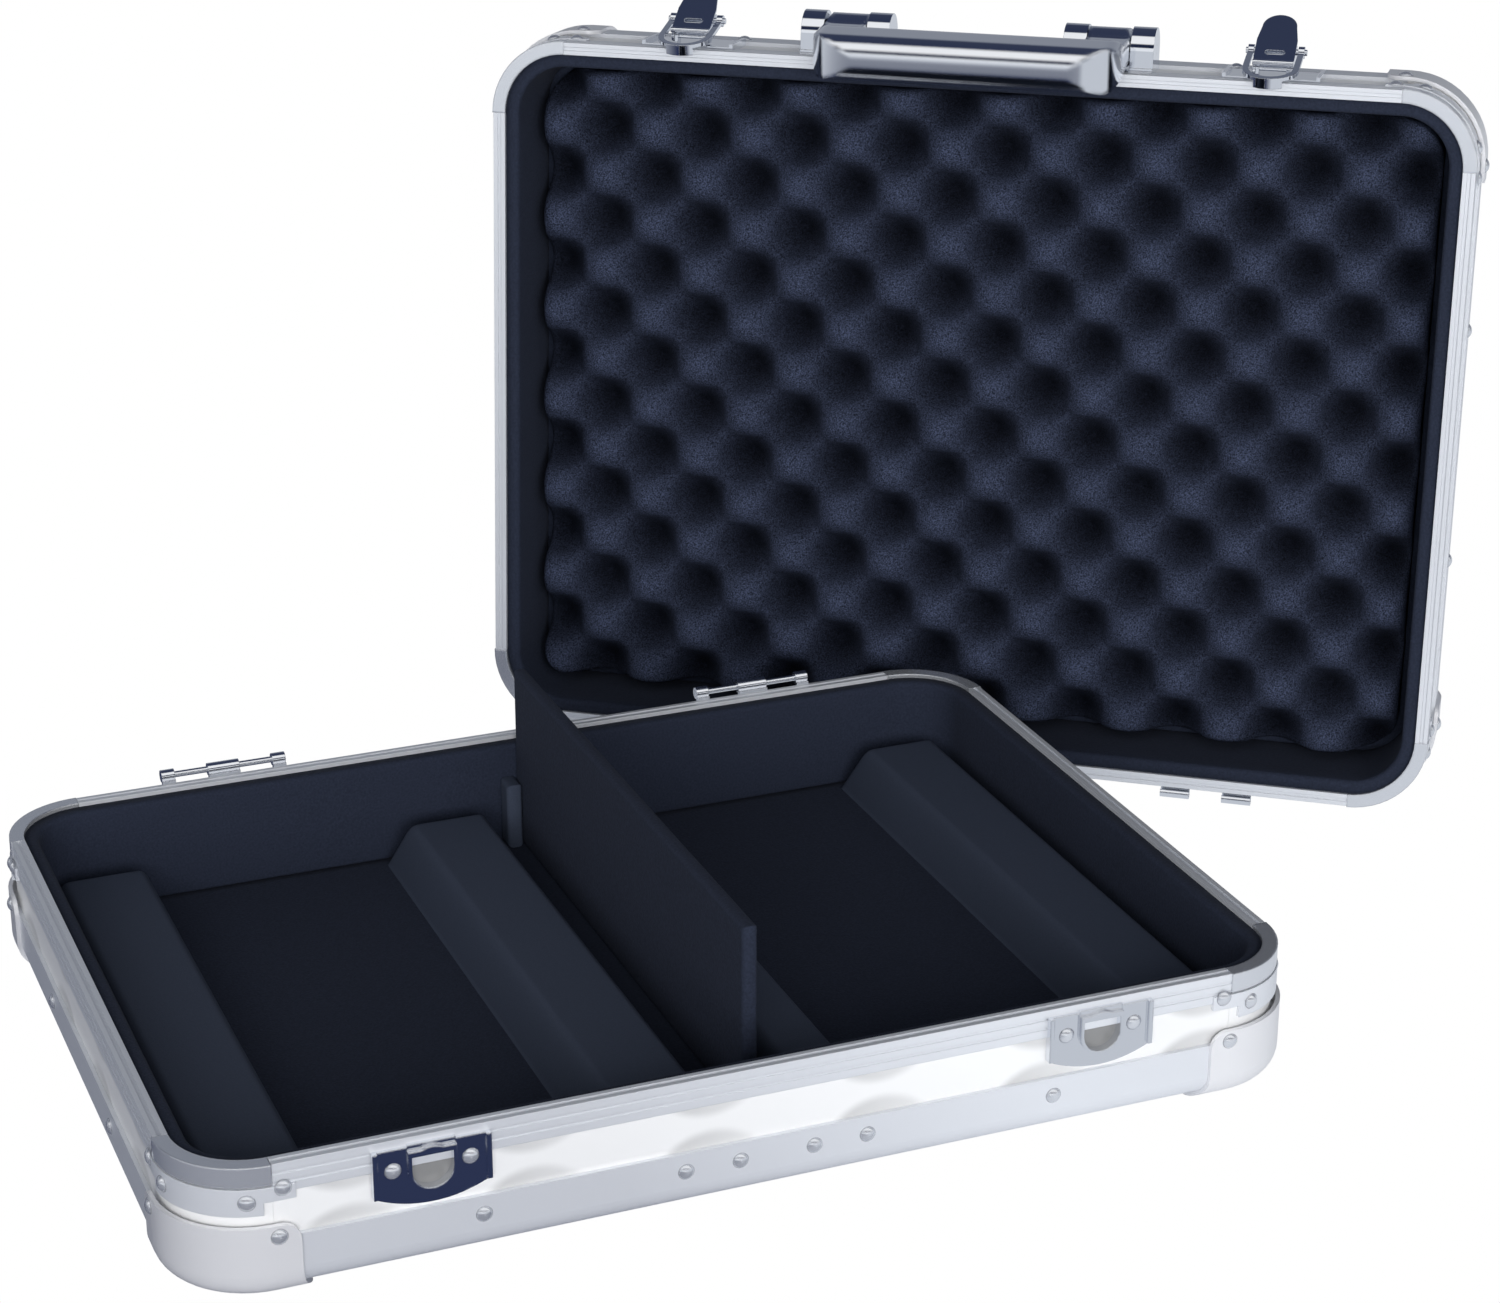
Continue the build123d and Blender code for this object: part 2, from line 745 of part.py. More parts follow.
def lever_frame():
    """Where the open lever stands on the front wall."""
    return Pos(0, lever_axis_in, lever_axis_out) * Rot(lever_open_angle, 0, 0)


def loop_frame():
    """Where the slack loop hangs on the open lever."""
    return lever_frame() * Pos(0, lever_arm, 0) * Rot(loop_rest_angle - lever_open_angle, 0, 0)


def handle_side_view():
    """Side view of the handle: barrel, arm and thick grip, pivot at the origin."""
    barrel = Circle(handle_barrel_radius)
    arm_height = handle_arm_above + handle_arm_below
    arm_middle = (handle_arm_above - handle_arm_below) / 2
    arm = Pos(-handle_reach / 2, arm_middle) * Rectangle(handle_reach, arm_height)
    grip_place = Pos(-handle_reach, 0)
    grip = grip_place * RectangleRounded(handle_grip_depth, handle_grip_height, handle_grip_round)
    return barrel + arm + grip


def handle_top_view():
    """Top view of the handle: a grip with two arms and rounded corners."""
    front = -handle_reach - handle_grip_depth / 2
    rear = handle_barrel_radius
    gap_front = -handle_reach + handle_grip_depth / 2
    outer_width = 2 * handle_arm_outer
    outer = Pos(0, (front + rear) / 2) * Rectangle(outer_width, rear - front)
    outer = fillet(outer.vertices().group_by(Axis.Y)[0], handle_corner_round)
    gap = Pos(0, (gap_front + far) / 2) * Rectangle(2 * handle_arm_inner, far - gap_front)
    gap = fillet(gap.vertices().group_by(Axis.Y)[0], handle_inner_round)
    return outer - gap


def handle():
    """The folding handle with its pivot at the origin."""
    side = extrude(Plane.YZ * handle_side_view(), handle_arm_outer, both=True)
    top = extrude(handle_top_view(), case_width, both=True)
    ends = RectangleRounded(2 * handle_arm_outer, handle_grip_height, handle_end_round)
    front = extrude(Plane.XZ * ends, case_width, both=True)
    bore = Rot(0, 90, 0) * Cylinder(handle_pin_radius + pin_clearance, far)
    return (side & top & front) - bore


def handle_foot():
    """One handle foot with a cheek on both sides of the handle arm."""
    inner = handle_arm_inner - fit
    outer = handle_arm_outer + fit
    left = inner - foot_cheek
    right = outer + foot_cheek
    foot = wall_plate(left, right, foot_start, fittings_end, fit)
    centre = Pos(handle_pivot_in, handle_pivot_out)
    half = min(fittings_end - handle_pivot_in, handle_pivot_in - foot_start)
    base = Pos(handle_pivot_in, foot_plate / 2) * Rectangle(2 * half, foot_plate)
    neck = Pos(handle_pivot_in, handle_pivot_out / 2) * Rectangle(2 * foot_cheek_radius, handle_pivot_out)
    cheek = extrude(Plane.YZ * (base + neck + centre * Circle(foot_cheek_radius)), foot_cheek)
    foot += Pos(left, 0, 0) * cheek
    foot += Pos(outer, 0, 0) * cheek
    return foot - handle_pin()


def handle_pin():
    """The pin of the right-hand handle foot."""
    middle = (handle_arm_inner + handle_arm_outer) / 2
    length = handle_arm_outer - handle_arm_inner + 2 * (foot_cheek + fit)
    place = Pos(middle, handle_pivot_in, handle_pivot_out)
    return place * Rot(0, 90, 0) * Cylinder(handle_pin_radius, length)


def lid_lean():
    """The lean at which hinge hooks and ball corners both touch the floor."""
    out = hinge_axis_out + ball_edge_radius - ball_out
    back = hook_axis_z - ball_edge_radius
    drop = ball_edge_radius - hook_outer_radius
    return atan2(out, back) - asin(drop / hypot(out, back))


def lid_location():
    """The place of the lid half, standing on its hinge side behind the base."""
    turn = radians(lid_turn)
    lean = lid_lean()
    across = Vector(cos(turn), sin(turn), 0)
    front = Vector(sin(turn), -cos(turn), 0)
    upright = Vector(0, 0, 1)
    upward = upright * cos(lean) - front * sin(lean)
    facing = front * cos(lean) + upright * sin(lean)
    axis_back = half_height - hook_axis_z
    height = hook_outer_radius + hinge_axis_out * cos(lean) + axis_back * sin(lean)
    base_corner = Vector(half_width - corner_radius, half_depth - corner_radius, height)
    foot = base_corner - front * (corner_radius + ball_out + lid_gap) + across * lid_slide
    origin = foot + upward * half_depth - facing * half_height
    return Plane(origin=origin, x_dir=-across, z_dir=facing).location


def base_pieces():
    """Every piece of the base half by name."""
    pieces = {"base_" + name: shapes for name, shapes in shell_pieces().items()}
    pieces["base_rivets"] += strike_rivets()
    for number, (left, right) in enumerate(bar_spans, 1):
        pieces["foam_bar_%d" % number] = [foam_bar(left, right)]
    pieces["divider"] = [divider()]
    pieces["divider_guide"] = [divider_guide()]
    for side, sign in (("left", -1), ("right", 1)):
        pieces[side + "_strike"] = [on_front_wall(strike(), sign * latch_offset)]
        pieces[side + "_hinge_leaf"] = [hinge_leaf(sign * hinge_offset)]
        pieces[side + "_hinge_rod"] = [hinge_rod(sign * hinge_offset)]
    return pieces


def lid_pieces():
    """Every piece of the lid half by name, before the lid is stood up."""
    pieces = {"lid_" + name: shapes for name, shapes in shell_pieces().items()}
    pieces["egg_crate_foam"] = [egg_crate_foam()]
    pivot = Pos(0, handle_pivot_in, handle_pivot_out)
    pieces["handle"] = [on_front_wall(pivot * Rot(handle_droop, 0, 0) * handle(), 0)]
    for side, sign in (("left", 1), ("right", -1)):
        centre = sign * latch_offset
        pieces[side + "_latch_plate"] = [on_front_wall(latch_plate(), centre)]
        pieces[side + "_latch_lever"] = [on_front_wall(lever_frame() * lever(), centre)]
        pieces[side + "_latch_loop"] = [on_front_wall(loop_frame() * loop(), centre)]
        pieces[side + "_lever_pin"] = [on_front_wall(lever_pin(), centre)]
        pieces[side + "_loop_pin"] = [on_front_wall(loop_frame() * loop_pin(), centre)]
        pieces[side + "_hinge_hooks"] = hinge_hooks(sign * hinge_offset)
        foot = handle_foot() if sign < 0 else mirror(handle_foot(), Plane.YZ)
        pin = handle_pin() if sign < 0 else mirror(handle_pin(), Plane.YZ)
        pieces[side + "_handle_foot"] = [on_front_wall(foot, 0)]
        pieces[side + "_handle_pin"] = [on_front_wall(pin, 0)]
    return pieces


def write_parts():
    """Writes every piece to its own file."""
    os.makedirs("parts", exist_ok=True)
    lid_place = lid_location()
    placed = {name: solids_of(shapes) for name, shapes in base_pieces().items()}
    for name, shapes in lid_pieces().items():
        placed[name] = [lid_place * solid for solid in solids_of(shapes)]
    for name, solids in placed.items():
        export_step(Compound(children=solids), "parts/%s.step" % name)


write_parts()
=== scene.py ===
import json
import math

import bpy
import numpy as np
from bpy.props import FloatProperty, FloatVectorProperty, IntProperty, PointerProperty
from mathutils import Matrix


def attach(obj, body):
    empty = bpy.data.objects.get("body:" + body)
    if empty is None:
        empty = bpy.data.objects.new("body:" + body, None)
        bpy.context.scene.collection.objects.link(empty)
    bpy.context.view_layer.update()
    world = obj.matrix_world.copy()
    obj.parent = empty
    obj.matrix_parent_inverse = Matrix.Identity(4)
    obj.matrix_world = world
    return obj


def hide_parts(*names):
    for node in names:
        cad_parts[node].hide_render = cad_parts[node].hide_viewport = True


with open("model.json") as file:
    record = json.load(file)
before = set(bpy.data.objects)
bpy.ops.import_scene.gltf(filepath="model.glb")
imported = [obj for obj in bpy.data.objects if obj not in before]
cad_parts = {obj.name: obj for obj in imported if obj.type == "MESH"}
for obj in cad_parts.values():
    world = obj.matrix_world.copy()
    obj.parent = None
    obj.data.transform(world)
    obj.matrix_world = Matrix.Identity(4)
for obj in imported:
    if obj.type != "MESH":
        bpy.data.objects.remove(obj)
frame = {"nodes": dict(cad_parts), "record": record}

bl_info = {
    "name": "Flight case looks",
    "version": (1, 0, 0),
    "blender": (4, 2, 0),
    "location": "View3D > Sidebar > Flight case",
    "description": "Builds the soft pieces, finishes and studio of an open flight case",
    "category": "Object",
}

MILLIMETRE = 0.001

# Spans of the four foam bars along X, in millimetres
BAR_SPANS = ((-236.7, -178.0), (-65.0, -8.0), (14.0, 59.0), (180.0, 236.7))

# Points of the lining's section: in each rounded corner, and up each face
ARC_POINTS = 5
FACE_POINTS = 8

# Waves along the lining: radians to the metre, and the start in radians
LINING_WAVES = ((61.0, 0.4), (23.0, 1.3), (101.0, 0.0))

# Points of the felt across and along the case
FELT_GRID = (64, 48)

# Points on each sloping side of a bar or board, and over how many widths of that side
SIDE_POINTS = 16
SIDE_REACH = 1.6

# Points between the sloping sides, in the two directions of the surface
BAR_MIDDLE = (10, 60)
BOARD_MIDDLE = (40, 16)

# Strength of the plain reflection on metals, and on cloth and foam
METAL_SPECULAR = 0.5
SOFT_SPECULAR = 0.15

# Levels of the grain between which speckles run from their darkest to their lightest
SPECKLE_SPAN = (0.35, 0.75)
GRAIN_DETAIL = 4.0
EDGE_SAMPLES = 4

METALS = ("silver_laminate", "satin_aluminium", "polished_steel", "chrome")

# What polished pieces mirror, by the angle from the front horizon over the top, in degrees
MIRRORED_BANDS = (
    (-180.0, (0.02, 0.03, 0.06)),
    (-8.0, (0.02, 0.03, 0.06)),
    (-5.0, (0.90, 0.92, 0.95)),
    (12.0, (0.90, 0.92, 0.95)),
    (16.0, (0.015, 0.022, 0.05)),
    (32.0, (0.015, 0.022, 0.05)),
    (38.0, (1.0, 1.0, 1.0)),
    (78.0, (1.0, 1.0, 1.0)),
    (84.0, (0.03, 0.04, 0.08)),
    (140.0, (0.04, 0.05, 0.09)),
    (150.0, (0.20, 0.22, 0.27)),
    (180.0, (0.36, 0.38, 0.42)),
)

# Half the side of the square floor, and the point that every light faces, in metres
FLOOR_HALF = 6.0
LIGHT_TARGET = (0.1, 0.1, 0.1)

# The camera's film width in millimetres, and the nearest and farthest things it sees in metres
FILM_WIDTH = 36.0
NEAREST = 0.05
FARTHEST = 40.0


def length(name, description, default):
    """A length setting in metres, given here in millimetres."""
    return FloatProperty(
        name=name, description=description, default=default * MILLIMETRE, unit="LENGTH", precision=5
    )


def angle(name, description, default):
    """An angle setting in radians, given here in degrees."""
    return FloatProperty(
        name=name, description=description, default=math.radians(default), subtype="ANGLE"
    )


def factor(name, description, default):
    """A setting that is a plain number."""
    return FloatProperty(name=name, description=description, default=default)


def power(name, description, default):
    """A setting for the power of a light, in watts."""
    return FloatProperty(name=name, description=description, default=default, unit="POWER")


def points(name, description, default):
    """A setting for a number of points along a surface."""
    return IntProperty(name=name, description=description, default=default, min=64)


def colour(name, description, default):
    """A linear colour setting."""
    return FloatVectorProperty(
        name=name,
        description=description,
        default=default,
        subtype="COLOR",
        size=3,
        min=0.0,
        max=1.0,
    )


class CaseSettings(bpy.types.PropertyGroup):
    """Sizes of one half of the case and the place of the standing lid"""

    width: length("Width", "Width of the case over its rim rails", 500.0)
    depth: length("Depth", "Depth of the case over its rim rails", 368.0)
    half_height: length("Half height", "Height of one half from its outer face to the rim", 60.0)
    corner_radius: length("Corner radius", "Outer radius of the upright corners", 38.0)
    lid_foot_x: length("Lid foot X", "Place of the middle of the lid's hinge edge along X", 243.5)
    lid_foot_y: length("Lid foot Y", "Place of the middle of the lid's hinge edge along Y", 174.1)
    lid_foot_z: length("Lid foot Z", "Height of the lid's hinge edge above the floor", 6.5817)
    lid_turn: angle("Lid turn", "Turn of the lid about the upright", -37.0)
    lid_lean: angle("Lid lean", "Lean of the lid away from the base", 4.2497)


class LiningSettings(bpy.types.PropertyGroup):
    """Sizes of the padded wall lining and the felt"""

    outer_low: length("Outer inset low", "Inset of the lining's back below the rail leg", 5.2)
    outer_high: length("Outer inset high", "Inset of the lining's back beside the rail leg", 6.2)
    step: length("Step height", "Height at which the lining's back steps in", 49.0)
    inner: length("Inner inset", "Inset of the lining's inner face", 13.0)
    low: length("Foot", "Height of the lining's foot", 6.0)
    high: length("Top", "Height of the lining's top edge", 58.0)
    softness: length("Softness", "Radius of the lining's soft edges", 2.2)
    felt_low: length("Felt underside", "Height of the felt's underside", 6.0)
    felt_high: length("Felt top", "Height of the felt's top", 7.0)
    wave: length("Waviness", "Depth of the soft waves in the lining", 0.45)
    samples: points("Samples", "Points along the lining", 480)


class FoamSettings(bpy.types.PropertyGroup):
    """Sizes of the egg-crate foam in the lid, and the painted shade of its valleys"""

    low: length("Underside", "Height of the foam's underside over the outer face", 7.0)
    valley: length("Valley height", "Height of the deepest valleys over the underside", 2.0)
    peak: length("Peak height", "Height of the peaks over the underside", 30.0)
    pitch_x: length("Pitch across", "Distance between two peaks in one row", 52.5)
    pitch_y: length("Pitch along", "Distance between two peaks in one column", 49.3)
    peak_x: length("Peak X", "Place of one peak across the lid", -12.0)
    peak_y: length("Peak Y", "Place of one peak along the lid", -63.0)
    inset: length("Inset", "Inset of the foam from the outer faces", 18.0)
    edge: length("Edge radius", "Radius of the rounded foam edge", 3.0)
    steepness: factor("Steepness", "Power of the wave, below 1 for steep sides", 0.75)
    fullness: factor("Fullness", "Power of the height, below 1 for fat peaks", 0.65)
    # Painted shade: the share of the foam's colour left in the valleys
    valley_shade_share: factor("Valley shade", "Share of the colour that is left in the valleys", 0.12)
    columns: points("Columns", "Points across the foam", 260)
    rows: points("Rows", "Points along the foam", 188)


class BarSettings(bpy.types.PropertyGroup):
    """Sizes of the four foam bars, the divider and its guide"""

    half_length: length("Half length", "Half the length of a foam bar", 165.0)
    low: length("Underside", "Height of the underside of a foam bar", 7.0)
    height: length("Height", "Height of a foam bar", 24.5)
    slant: length("Slant", "How far the sides of a bar lean in", 10.0)
    softness: factor("Softness", "Share of the slant that is rounded off", 0.25)
    corner_cut: length("Corner cut", "X plus Y taken off the square corners beside the lining", 12.0)
    divider_left: length("Divider left", "Left face of the divider", 5.0)
    divider_thickness: length("Divider thickness", "Thickness of the divider", 7.0)
    divider_front: length("Divider front", "Front end of the divider", -134.0)
    divider_rear: length("Divider rear", "Rear end of the divider", 170.7)
    divider_low: length("Divider underside", "Height of the divider's lower edge", 7.3)
    divider_high: length("Divider top", "Height of the divider's upper edge", 98.0)
    divider_round: length("Divider rounding", "Radius of the divider's and the guide's edges", 2.4)
    guide_left: length("Guide left", "Left face of the foam guide", -3.3)
    guide_thickness: length("Guide thickness", "Thickness of the foam guide", 8.0)
    guide_front: length("Guide front", "Front face of the foam guide", 159.0)
    guide_rear: length("Guide rear", "Rear face of the foam guide", 171.0)
    guide_low: length("Guide underside", "Height of the foam guide's foot", 7.0)
    guide_high: length("Guide top", "Height of the foam guide's top", 41.0)


class FinishSettings(bpy.types.PropertyGroup):
    """Colours of the finishes and radii of the highlights along metal edges"""

    aluminium: colour("Aluminium", "Colour of the satin rails", (0.80, 0.82, 0.86))
    laminate: colour("Laminate", "Colour of the silver wall boards", (0.90, 0.90, 0.90))
    steel: colour("Steel", "Colour of the stamped corners and plates", (0.84, 0.84, 0.86))
    chrome: colour("Chrome", "Colour of the bright fittings", (0.80, 0.82, 0.86))
    cloth: colour("Lining cloth", "Colour of the lining", (0.0200, 0.0250, 0.0420))
    foam: colour("Egg-crate foam", "Colour of the lid foam", (0.041, 0.051, 0.088))
    bar: colour("Foam bars", "Colour of the foam bars", (0.043, 0.053, 0.080))
    cap: colour("Bright caps", "Colour of the polished rim caps and rivets", (0.74, 0.76, 0.80))
    edge: length("Edge", "Radius of the highlight along metal edges", 0.5)
    handle_edge: length("Handle edge", "Radius of the highlight along the handle's edges", 3.5)
    stamped_edge: length("Stamped edge", "Radius of the highlight along caps and strikes", 1.2)


class ScallopSettings(bpy.types.PropertyGroup):
    """Painted shade of the scallops pressed into the laminate, and painted shade in the recess behind
    each strike
    """

    pitch: length("Pitch", "Distance between two scallops", 76.0)
    start: length("Start", "Place of one scallop along the wall, as X plus Y", -212.0)
    radius: length("Radius", "Radius of a scallop", 29.3)
    low: length("Lower row", "Height of the middle of the lower scallops", 5.2)
    high: length("Upper row", "Height of the middle of the upper scallops", 71.5)
    blur: length("Blur", "Half the width of the soft border of a scallop", 2.5)
    # Painted shade across each scallop, from its dark end to its light end
    dark_end: factor("Dark end", "Share of the colour lost where a scallop starts", 0.42)
    light_end: factor("Light end", "Share of the colour lost where a scallop ends", 0.05)
    # Painted shade in the recess behind each strike
    recess_x: length("Recess X", "Distance of the strike recess from the case's middle", 148.0)
    recess_z: length("Recess height", "Height of the middle of the strike recess", 44.0)
    recess_radius: length("Recess radius", "Radius of the dark recess behind the strike", 11.0)
    recess_shade_loss: factor("Recess shade", "Share of the colour lost in the recess", 0.7)


class StudioSettings(bpy.types.PropertyGroup):
    """Camera, lights, sky and floor"""

    camera_x: length("Camera X", "Camera place along X", -469.75)
    camera_y: length("Camera Y", "Camera place along Y", -1314.07)
    camera_z: length("Camera Z", "Camera height", 738.43)
    yaw: angle("Yaw", "Turn of the camera", -22.05)
    pitch: angle("Pitch", "Tilt of the camera", -22.08)
    focal: factor("Focal length", "Focal length in millimetres", 81.57)
    key: power("Key light", "Power of the large overhead light", 1.0)
    side: power("Side light", "Power of the light from the left", 5.0)
    front: power("Front light", "Power of the light from the front", 76.0)
    fill: factor("Fill", "Strength of the light from the horizon", 0.75)
    overhead: factor("Overhead", "Strength of the sky straight above", 0.05)
    sky: colour("Sky", "Colour of the light from horizon and sky", (0.90, 0.94, 1.0))
    paint: colour("Floor", "Colour of the light that the floor throws back", (0.85, 0.86, 0.88))
    near: length("Near floor", "Distance up to which the mirrored floor is dark", 380.0)
    far: length("Far floor", "Distance from which the mirrored floor is bright", 1500.0)
    dark_side: length("Dark side", "X up to which the mirrored floor is dark", -60.0)
    bright_side: length("Bright side", "X from which the mirrored floor is bright", 140.0)
    floor_dark: colour("Dark floor", "Colour of the dark mirrored floor", (0.03, 0.04, 0.09))
    floor_bright: colour("Bright floor", "Colour of the bright mirrored floor", (0.62, 0.65, 0.70))


def lid_matrix(case):
    """The 4 by 4 matrix from the frame of one half to the standing lid.

    With t the turn and l the lean, across is (cos t, sin t, 0), front is
    (sin t, -cos t, 0) and z the upright. Up is z cos l - front sin l, facing is
    front cos l + z sin l, and X, Y and Z go to -across, -up and facing. The
    origin goes to the foot + up depth / 2 - facing half_height.
    """
    turn = case.lid_turn
    lean = case.lid_lean
    across = np.array([math.cos(turn), math.sin(turn), 0.0])
    front = np.array([math.sin(turn), -math.cos(turn), 0.0])
    upright = np.array([0.0, 0.0, 1.0])
    upward = upright * math.cos(lean) - front * math.sin(lean)
    facing = front * math.cos(lean) + upright * math.sin(lean)
    foot = np.array([case.lid_foot_x, case.lid_foot_y, case.lid_foot_z])
    matrix = np.eye(4)
    matrix[:3, 0] = -across
    matrix[:3, 1] = -upward
    matrix[:3, 2] = facing
    matrix[:3, 3] = foot + upward * case.depth / 2 - facing * case.half_height
    return matrix


def place(grid, matrix):
    """A grid of points moved by a matrix: its 3 by 3 part times the point, plus its last column."""
    return grid @ matrix[:3, :3].T + matrix[:3, 3]


def smooth(share):
    """A smooth rise: with s the share held between 0 and 1, it is s^2 (3 - 2 s)."""
    held = np.clip(share, 0.0, 1.0)
    return held * held * (3.0 - 2.0 * held)


def soft_min(a, b, softness):
    """The lower of two fields with a rounded crease between them.

    With w the softness and s = 1/2 + (b - a) / 2w held between 0 and 1, it is
    b (1 - s) + a s - w s (1 - s).
    """
    spread = np.clip(0.5 + 0.5 * (b - a) / softness, 0.0, 1.0)
    return b * (1.0 - spread) + a * spread - softness * spread * (1.0 - spread)


def edge_drop(distance, radius):
    """How far a rounded edge lies under the flat: r (1 - sqrt(1 - (1 - d / r)^2)), and 0 past r."""
    beyond = 1.0 - np.clip(distance / radius, 0.0, 1.0)
    return radius * (1.0 - np.sqrt(1.0 - beyond ** 2))


def quads(rows, columns, closed=False):
    """Corner numbers of the four-sided faces of a grid, open or closed both ways into a ring.

    With c columns, the point in row r and column k has the number r c + k.
    """
    row = np.arange(rows if closed else rows - 1)[:, None]
    column = np.arange(columns if closed else columns - 1)[None, :]
    next_row = (row + 1) % rows
    next_column = (column + 1) % columns
    corners = (
        row * columns + column,
        row * columns + next_column,
        next_row * columns + next_column,
        next_row * columns + column,
    )
    return np.stack(np.broadcast_arrays(*corners), axis=-1).reshape(-1, 4)


def mesh_object(name, vertices, faces):
    """A smooth-shaded mesh object from arrays of vertices and four-sided faces."""
    mesh = bpy.data.meshes.new(name)
    mesh.vertices.add(len(vertices))
    mesh.vertices.foreach_set("co", np.ascontiguousarray(vertices, dtype=np.float32).ravel())
    mesh.loops.add(faces.size)
    mesh.loops.foreach_set("vertex_index", faces.astype(np.int32).ravel())
    mesh.polygons.add(len(faces))
    mesh.polygons.foreach_set("loop_start", np.arange(0, faces.size, 4, dtype=np.int32))
    mesh.polygons.foreach_set("loop_total", np.full(len(faces), 4, dtype=np.int32))
    mesh.update(calc_edges=True)
    mesh.validate()
    mesh.shade_smooth()
    obj = bpy.data.objects.new(name, mesh)
    bpy.context.scene.collection.objects.link(obj)
    return obj


def add_shade(obj, values):
    """Stores one shade value for each vertex, for the material to read."""
    attribute = obj.data.attributes.new("shade", "FLOAT", "POINT")
    attribute.data.foreach_set("value", np.ascontiguousarray(values, dtype=np.float32).ravel())


def closed_slab(name, top, bottom):
    """A closed solid between two grids of the same size, joined around their border."""
    rows, columns = top.shape[:2]
    below = rows * columns
    faces_top = quads(rows, columns)
    faces_bottom = faces_top[:, ::-1] + below
    index = np.arange(below).reshape(rows, columns)
    border = np.concatenate([index[0, :-1], index[:-1, -1], index[-1, :0:-1], index[:0:-1, 0]])
    following = np.roll(border, -1)
    rim = np.stack([border + below, following + below, following, border], axis=-1)
    vertices = np.concatenate([top.reshape(-1, 3), bottom.reshape(-1, 3)])
    return mesh_object(name, vertices, np.concatenate([faces_top, faces_bottom, rim]))


def flat_slab(name, x, y, low, high, matrix):
    """A closed sheet between two heights over a grid of places, moved by a matrix."""
    top = np.stack([x, y, np.full_like(x, high)], axis=-1)
    bottom = np.stack([x, y, np.full_like(x, low)], axis=-1)
    return closed_slab(name, place(top, matrix), place(bottom, matrix))


def swept_ring(name, case, profile, samples, matrix, wave):
    """A closed profile carried around the rounded outline of the case.

    The outline is cut into equal steps of its length. A profile point with inset i
    and share f lies at its own height and at c + n (r - i - w f' s). There n is the
    outward direction, r the corner radius, c the outline moved in by r, w the wave,
    f' the smooth rise of f, and s the mean of sines along the run.
    """
    radius = case.corner_radius
    straight_x = case.width - 2 * radius
    straight_y = case.depth - 2 * radius
    quarter = radius * math.pi / 2
    ends = np.cumsum([0.0] + [straight_x, quarter, straight_y, quarter] * 2)
    run = np.linspace(0.0, ends[-1], samples, endpoint=False)
    turned = np.zeros(samples)
    for start in ends[1:8:2]:
        turned += np.clip((run - start) / quarter, 0.0, 1.0) * math.pi / 2
    centre_x = np.clip(run, 0, straight_x) - np.clip(run - ends[4], 0, straight_x) - straight_x / 2
    centre_y = (
        np.clip(run - ends[2], 0, straight_y) - np.clip(run - ends[6], 0, straight_y) - straight_y / 2
    )
    waves = sum(np.sin(run * rate + start) for rate, start in LINING_WAVES) / len(LINING_WAVES)
    reach = radius - profile[:, 0] - wave * waves[:, None] * smooth(profile[:, 2])
    swept = np.empty((samples, len(profile), 3))
    swept[..., 0] = centre_x[:, None] + np.sin(turned)[:, None] * reach
    swept[..., 1] = centre_y[:, None] - np.cos(turned)[:, None] * reach
    swept[..., 2] = profile[:, 1]
    faces = quads(samples, len(profile), closed=True)
    return mesh_object(name, place(swept, matrix).reshape(-1, 3), faces)


def rounded_section(left, right, low, high, radius):
    """A closed rectangle with rounded corners on its right side, as inset, height and share.

    The share is sin(pi h), with h the part of the height, times the part of the way
    from left to right: 1 in the middle of the right face, and 0 around the back.
    """
    angles = np.linspace(0.0, math.pi / 2, ARC_POINTS)
    reach = right - radius
    lower = np.stack(
        [reach + radius * np.sin(angles), low + radius - radius * np.cos(angles)], axis=-1
    )
    upper = np.stack(
        [reach + radius * np.cos(angles), high - radius + radius * np.sin(angles)], axis=-1
    )
    middle_heights = np.linspace(low + radius, high - radius, FACE_POINTS + 2)[1:-1]
    middle = np.stack([np.full(FACE_POINTS, right), middle_heights], axis=-1)
    back_heights = np.linspace(high, low, FACE_POINTS)
    back = np.stack([np.full(FACE_POINTS, left), back_heights], axis=-1)
    outline = np.concatenate([lower, middle, upper, back])
    height_share = np.sin(math.pi * np.clip((outline[:, 1] - low) / (high - low), 0, 1))
    inner_share = np.clip((outline[:, 0] - left) / (right - left), 0, 1)
    return np.concatenate([outline, (height_share * inner_share)[:, None]], axis=-1)


def lining_section(lining):
    """The section of the wall lining: a rounded pad whose back steps out under the rail leg."""
    section = rounded_section(
        lining.outer_high, lining.inner, lining.low, lining.high, lining.softness
    )
    under_leg = (section[:, 0] <= lining.outer_high) & (section[:, 1] < lining.step)
    section[under_leg, 0] = lining.outer_low
    return section


def rounded_grid(case, inset, columns, rows):
    """The places of a grid that fills the case's rounded outline at an inset.

    A row that lies b into the rounding of radius r reaches sqrt(r^2 - b^2) past its
    middle, and the columns share each row evenly.
    """
    half_x = case.width / 2 - inset
    half_y = case.depth / 2 - inset
    radius = case.corner_radius - inset
    y = np.linspace(-half_y, half_y, rows)
    beyond = np.clip(np.abs(y) - (half_y - radius), 0.0, radius)
    row_half = half_x - radius + np.sqrt(np.maximum(radius ** 2 - beyond ** 2, 0.0))
    across = np.linspace(-1.0, 1.0, columns)
    return across[None, :] * row_half[:, None], np.repeat(y[:, None], columns, axis=1)


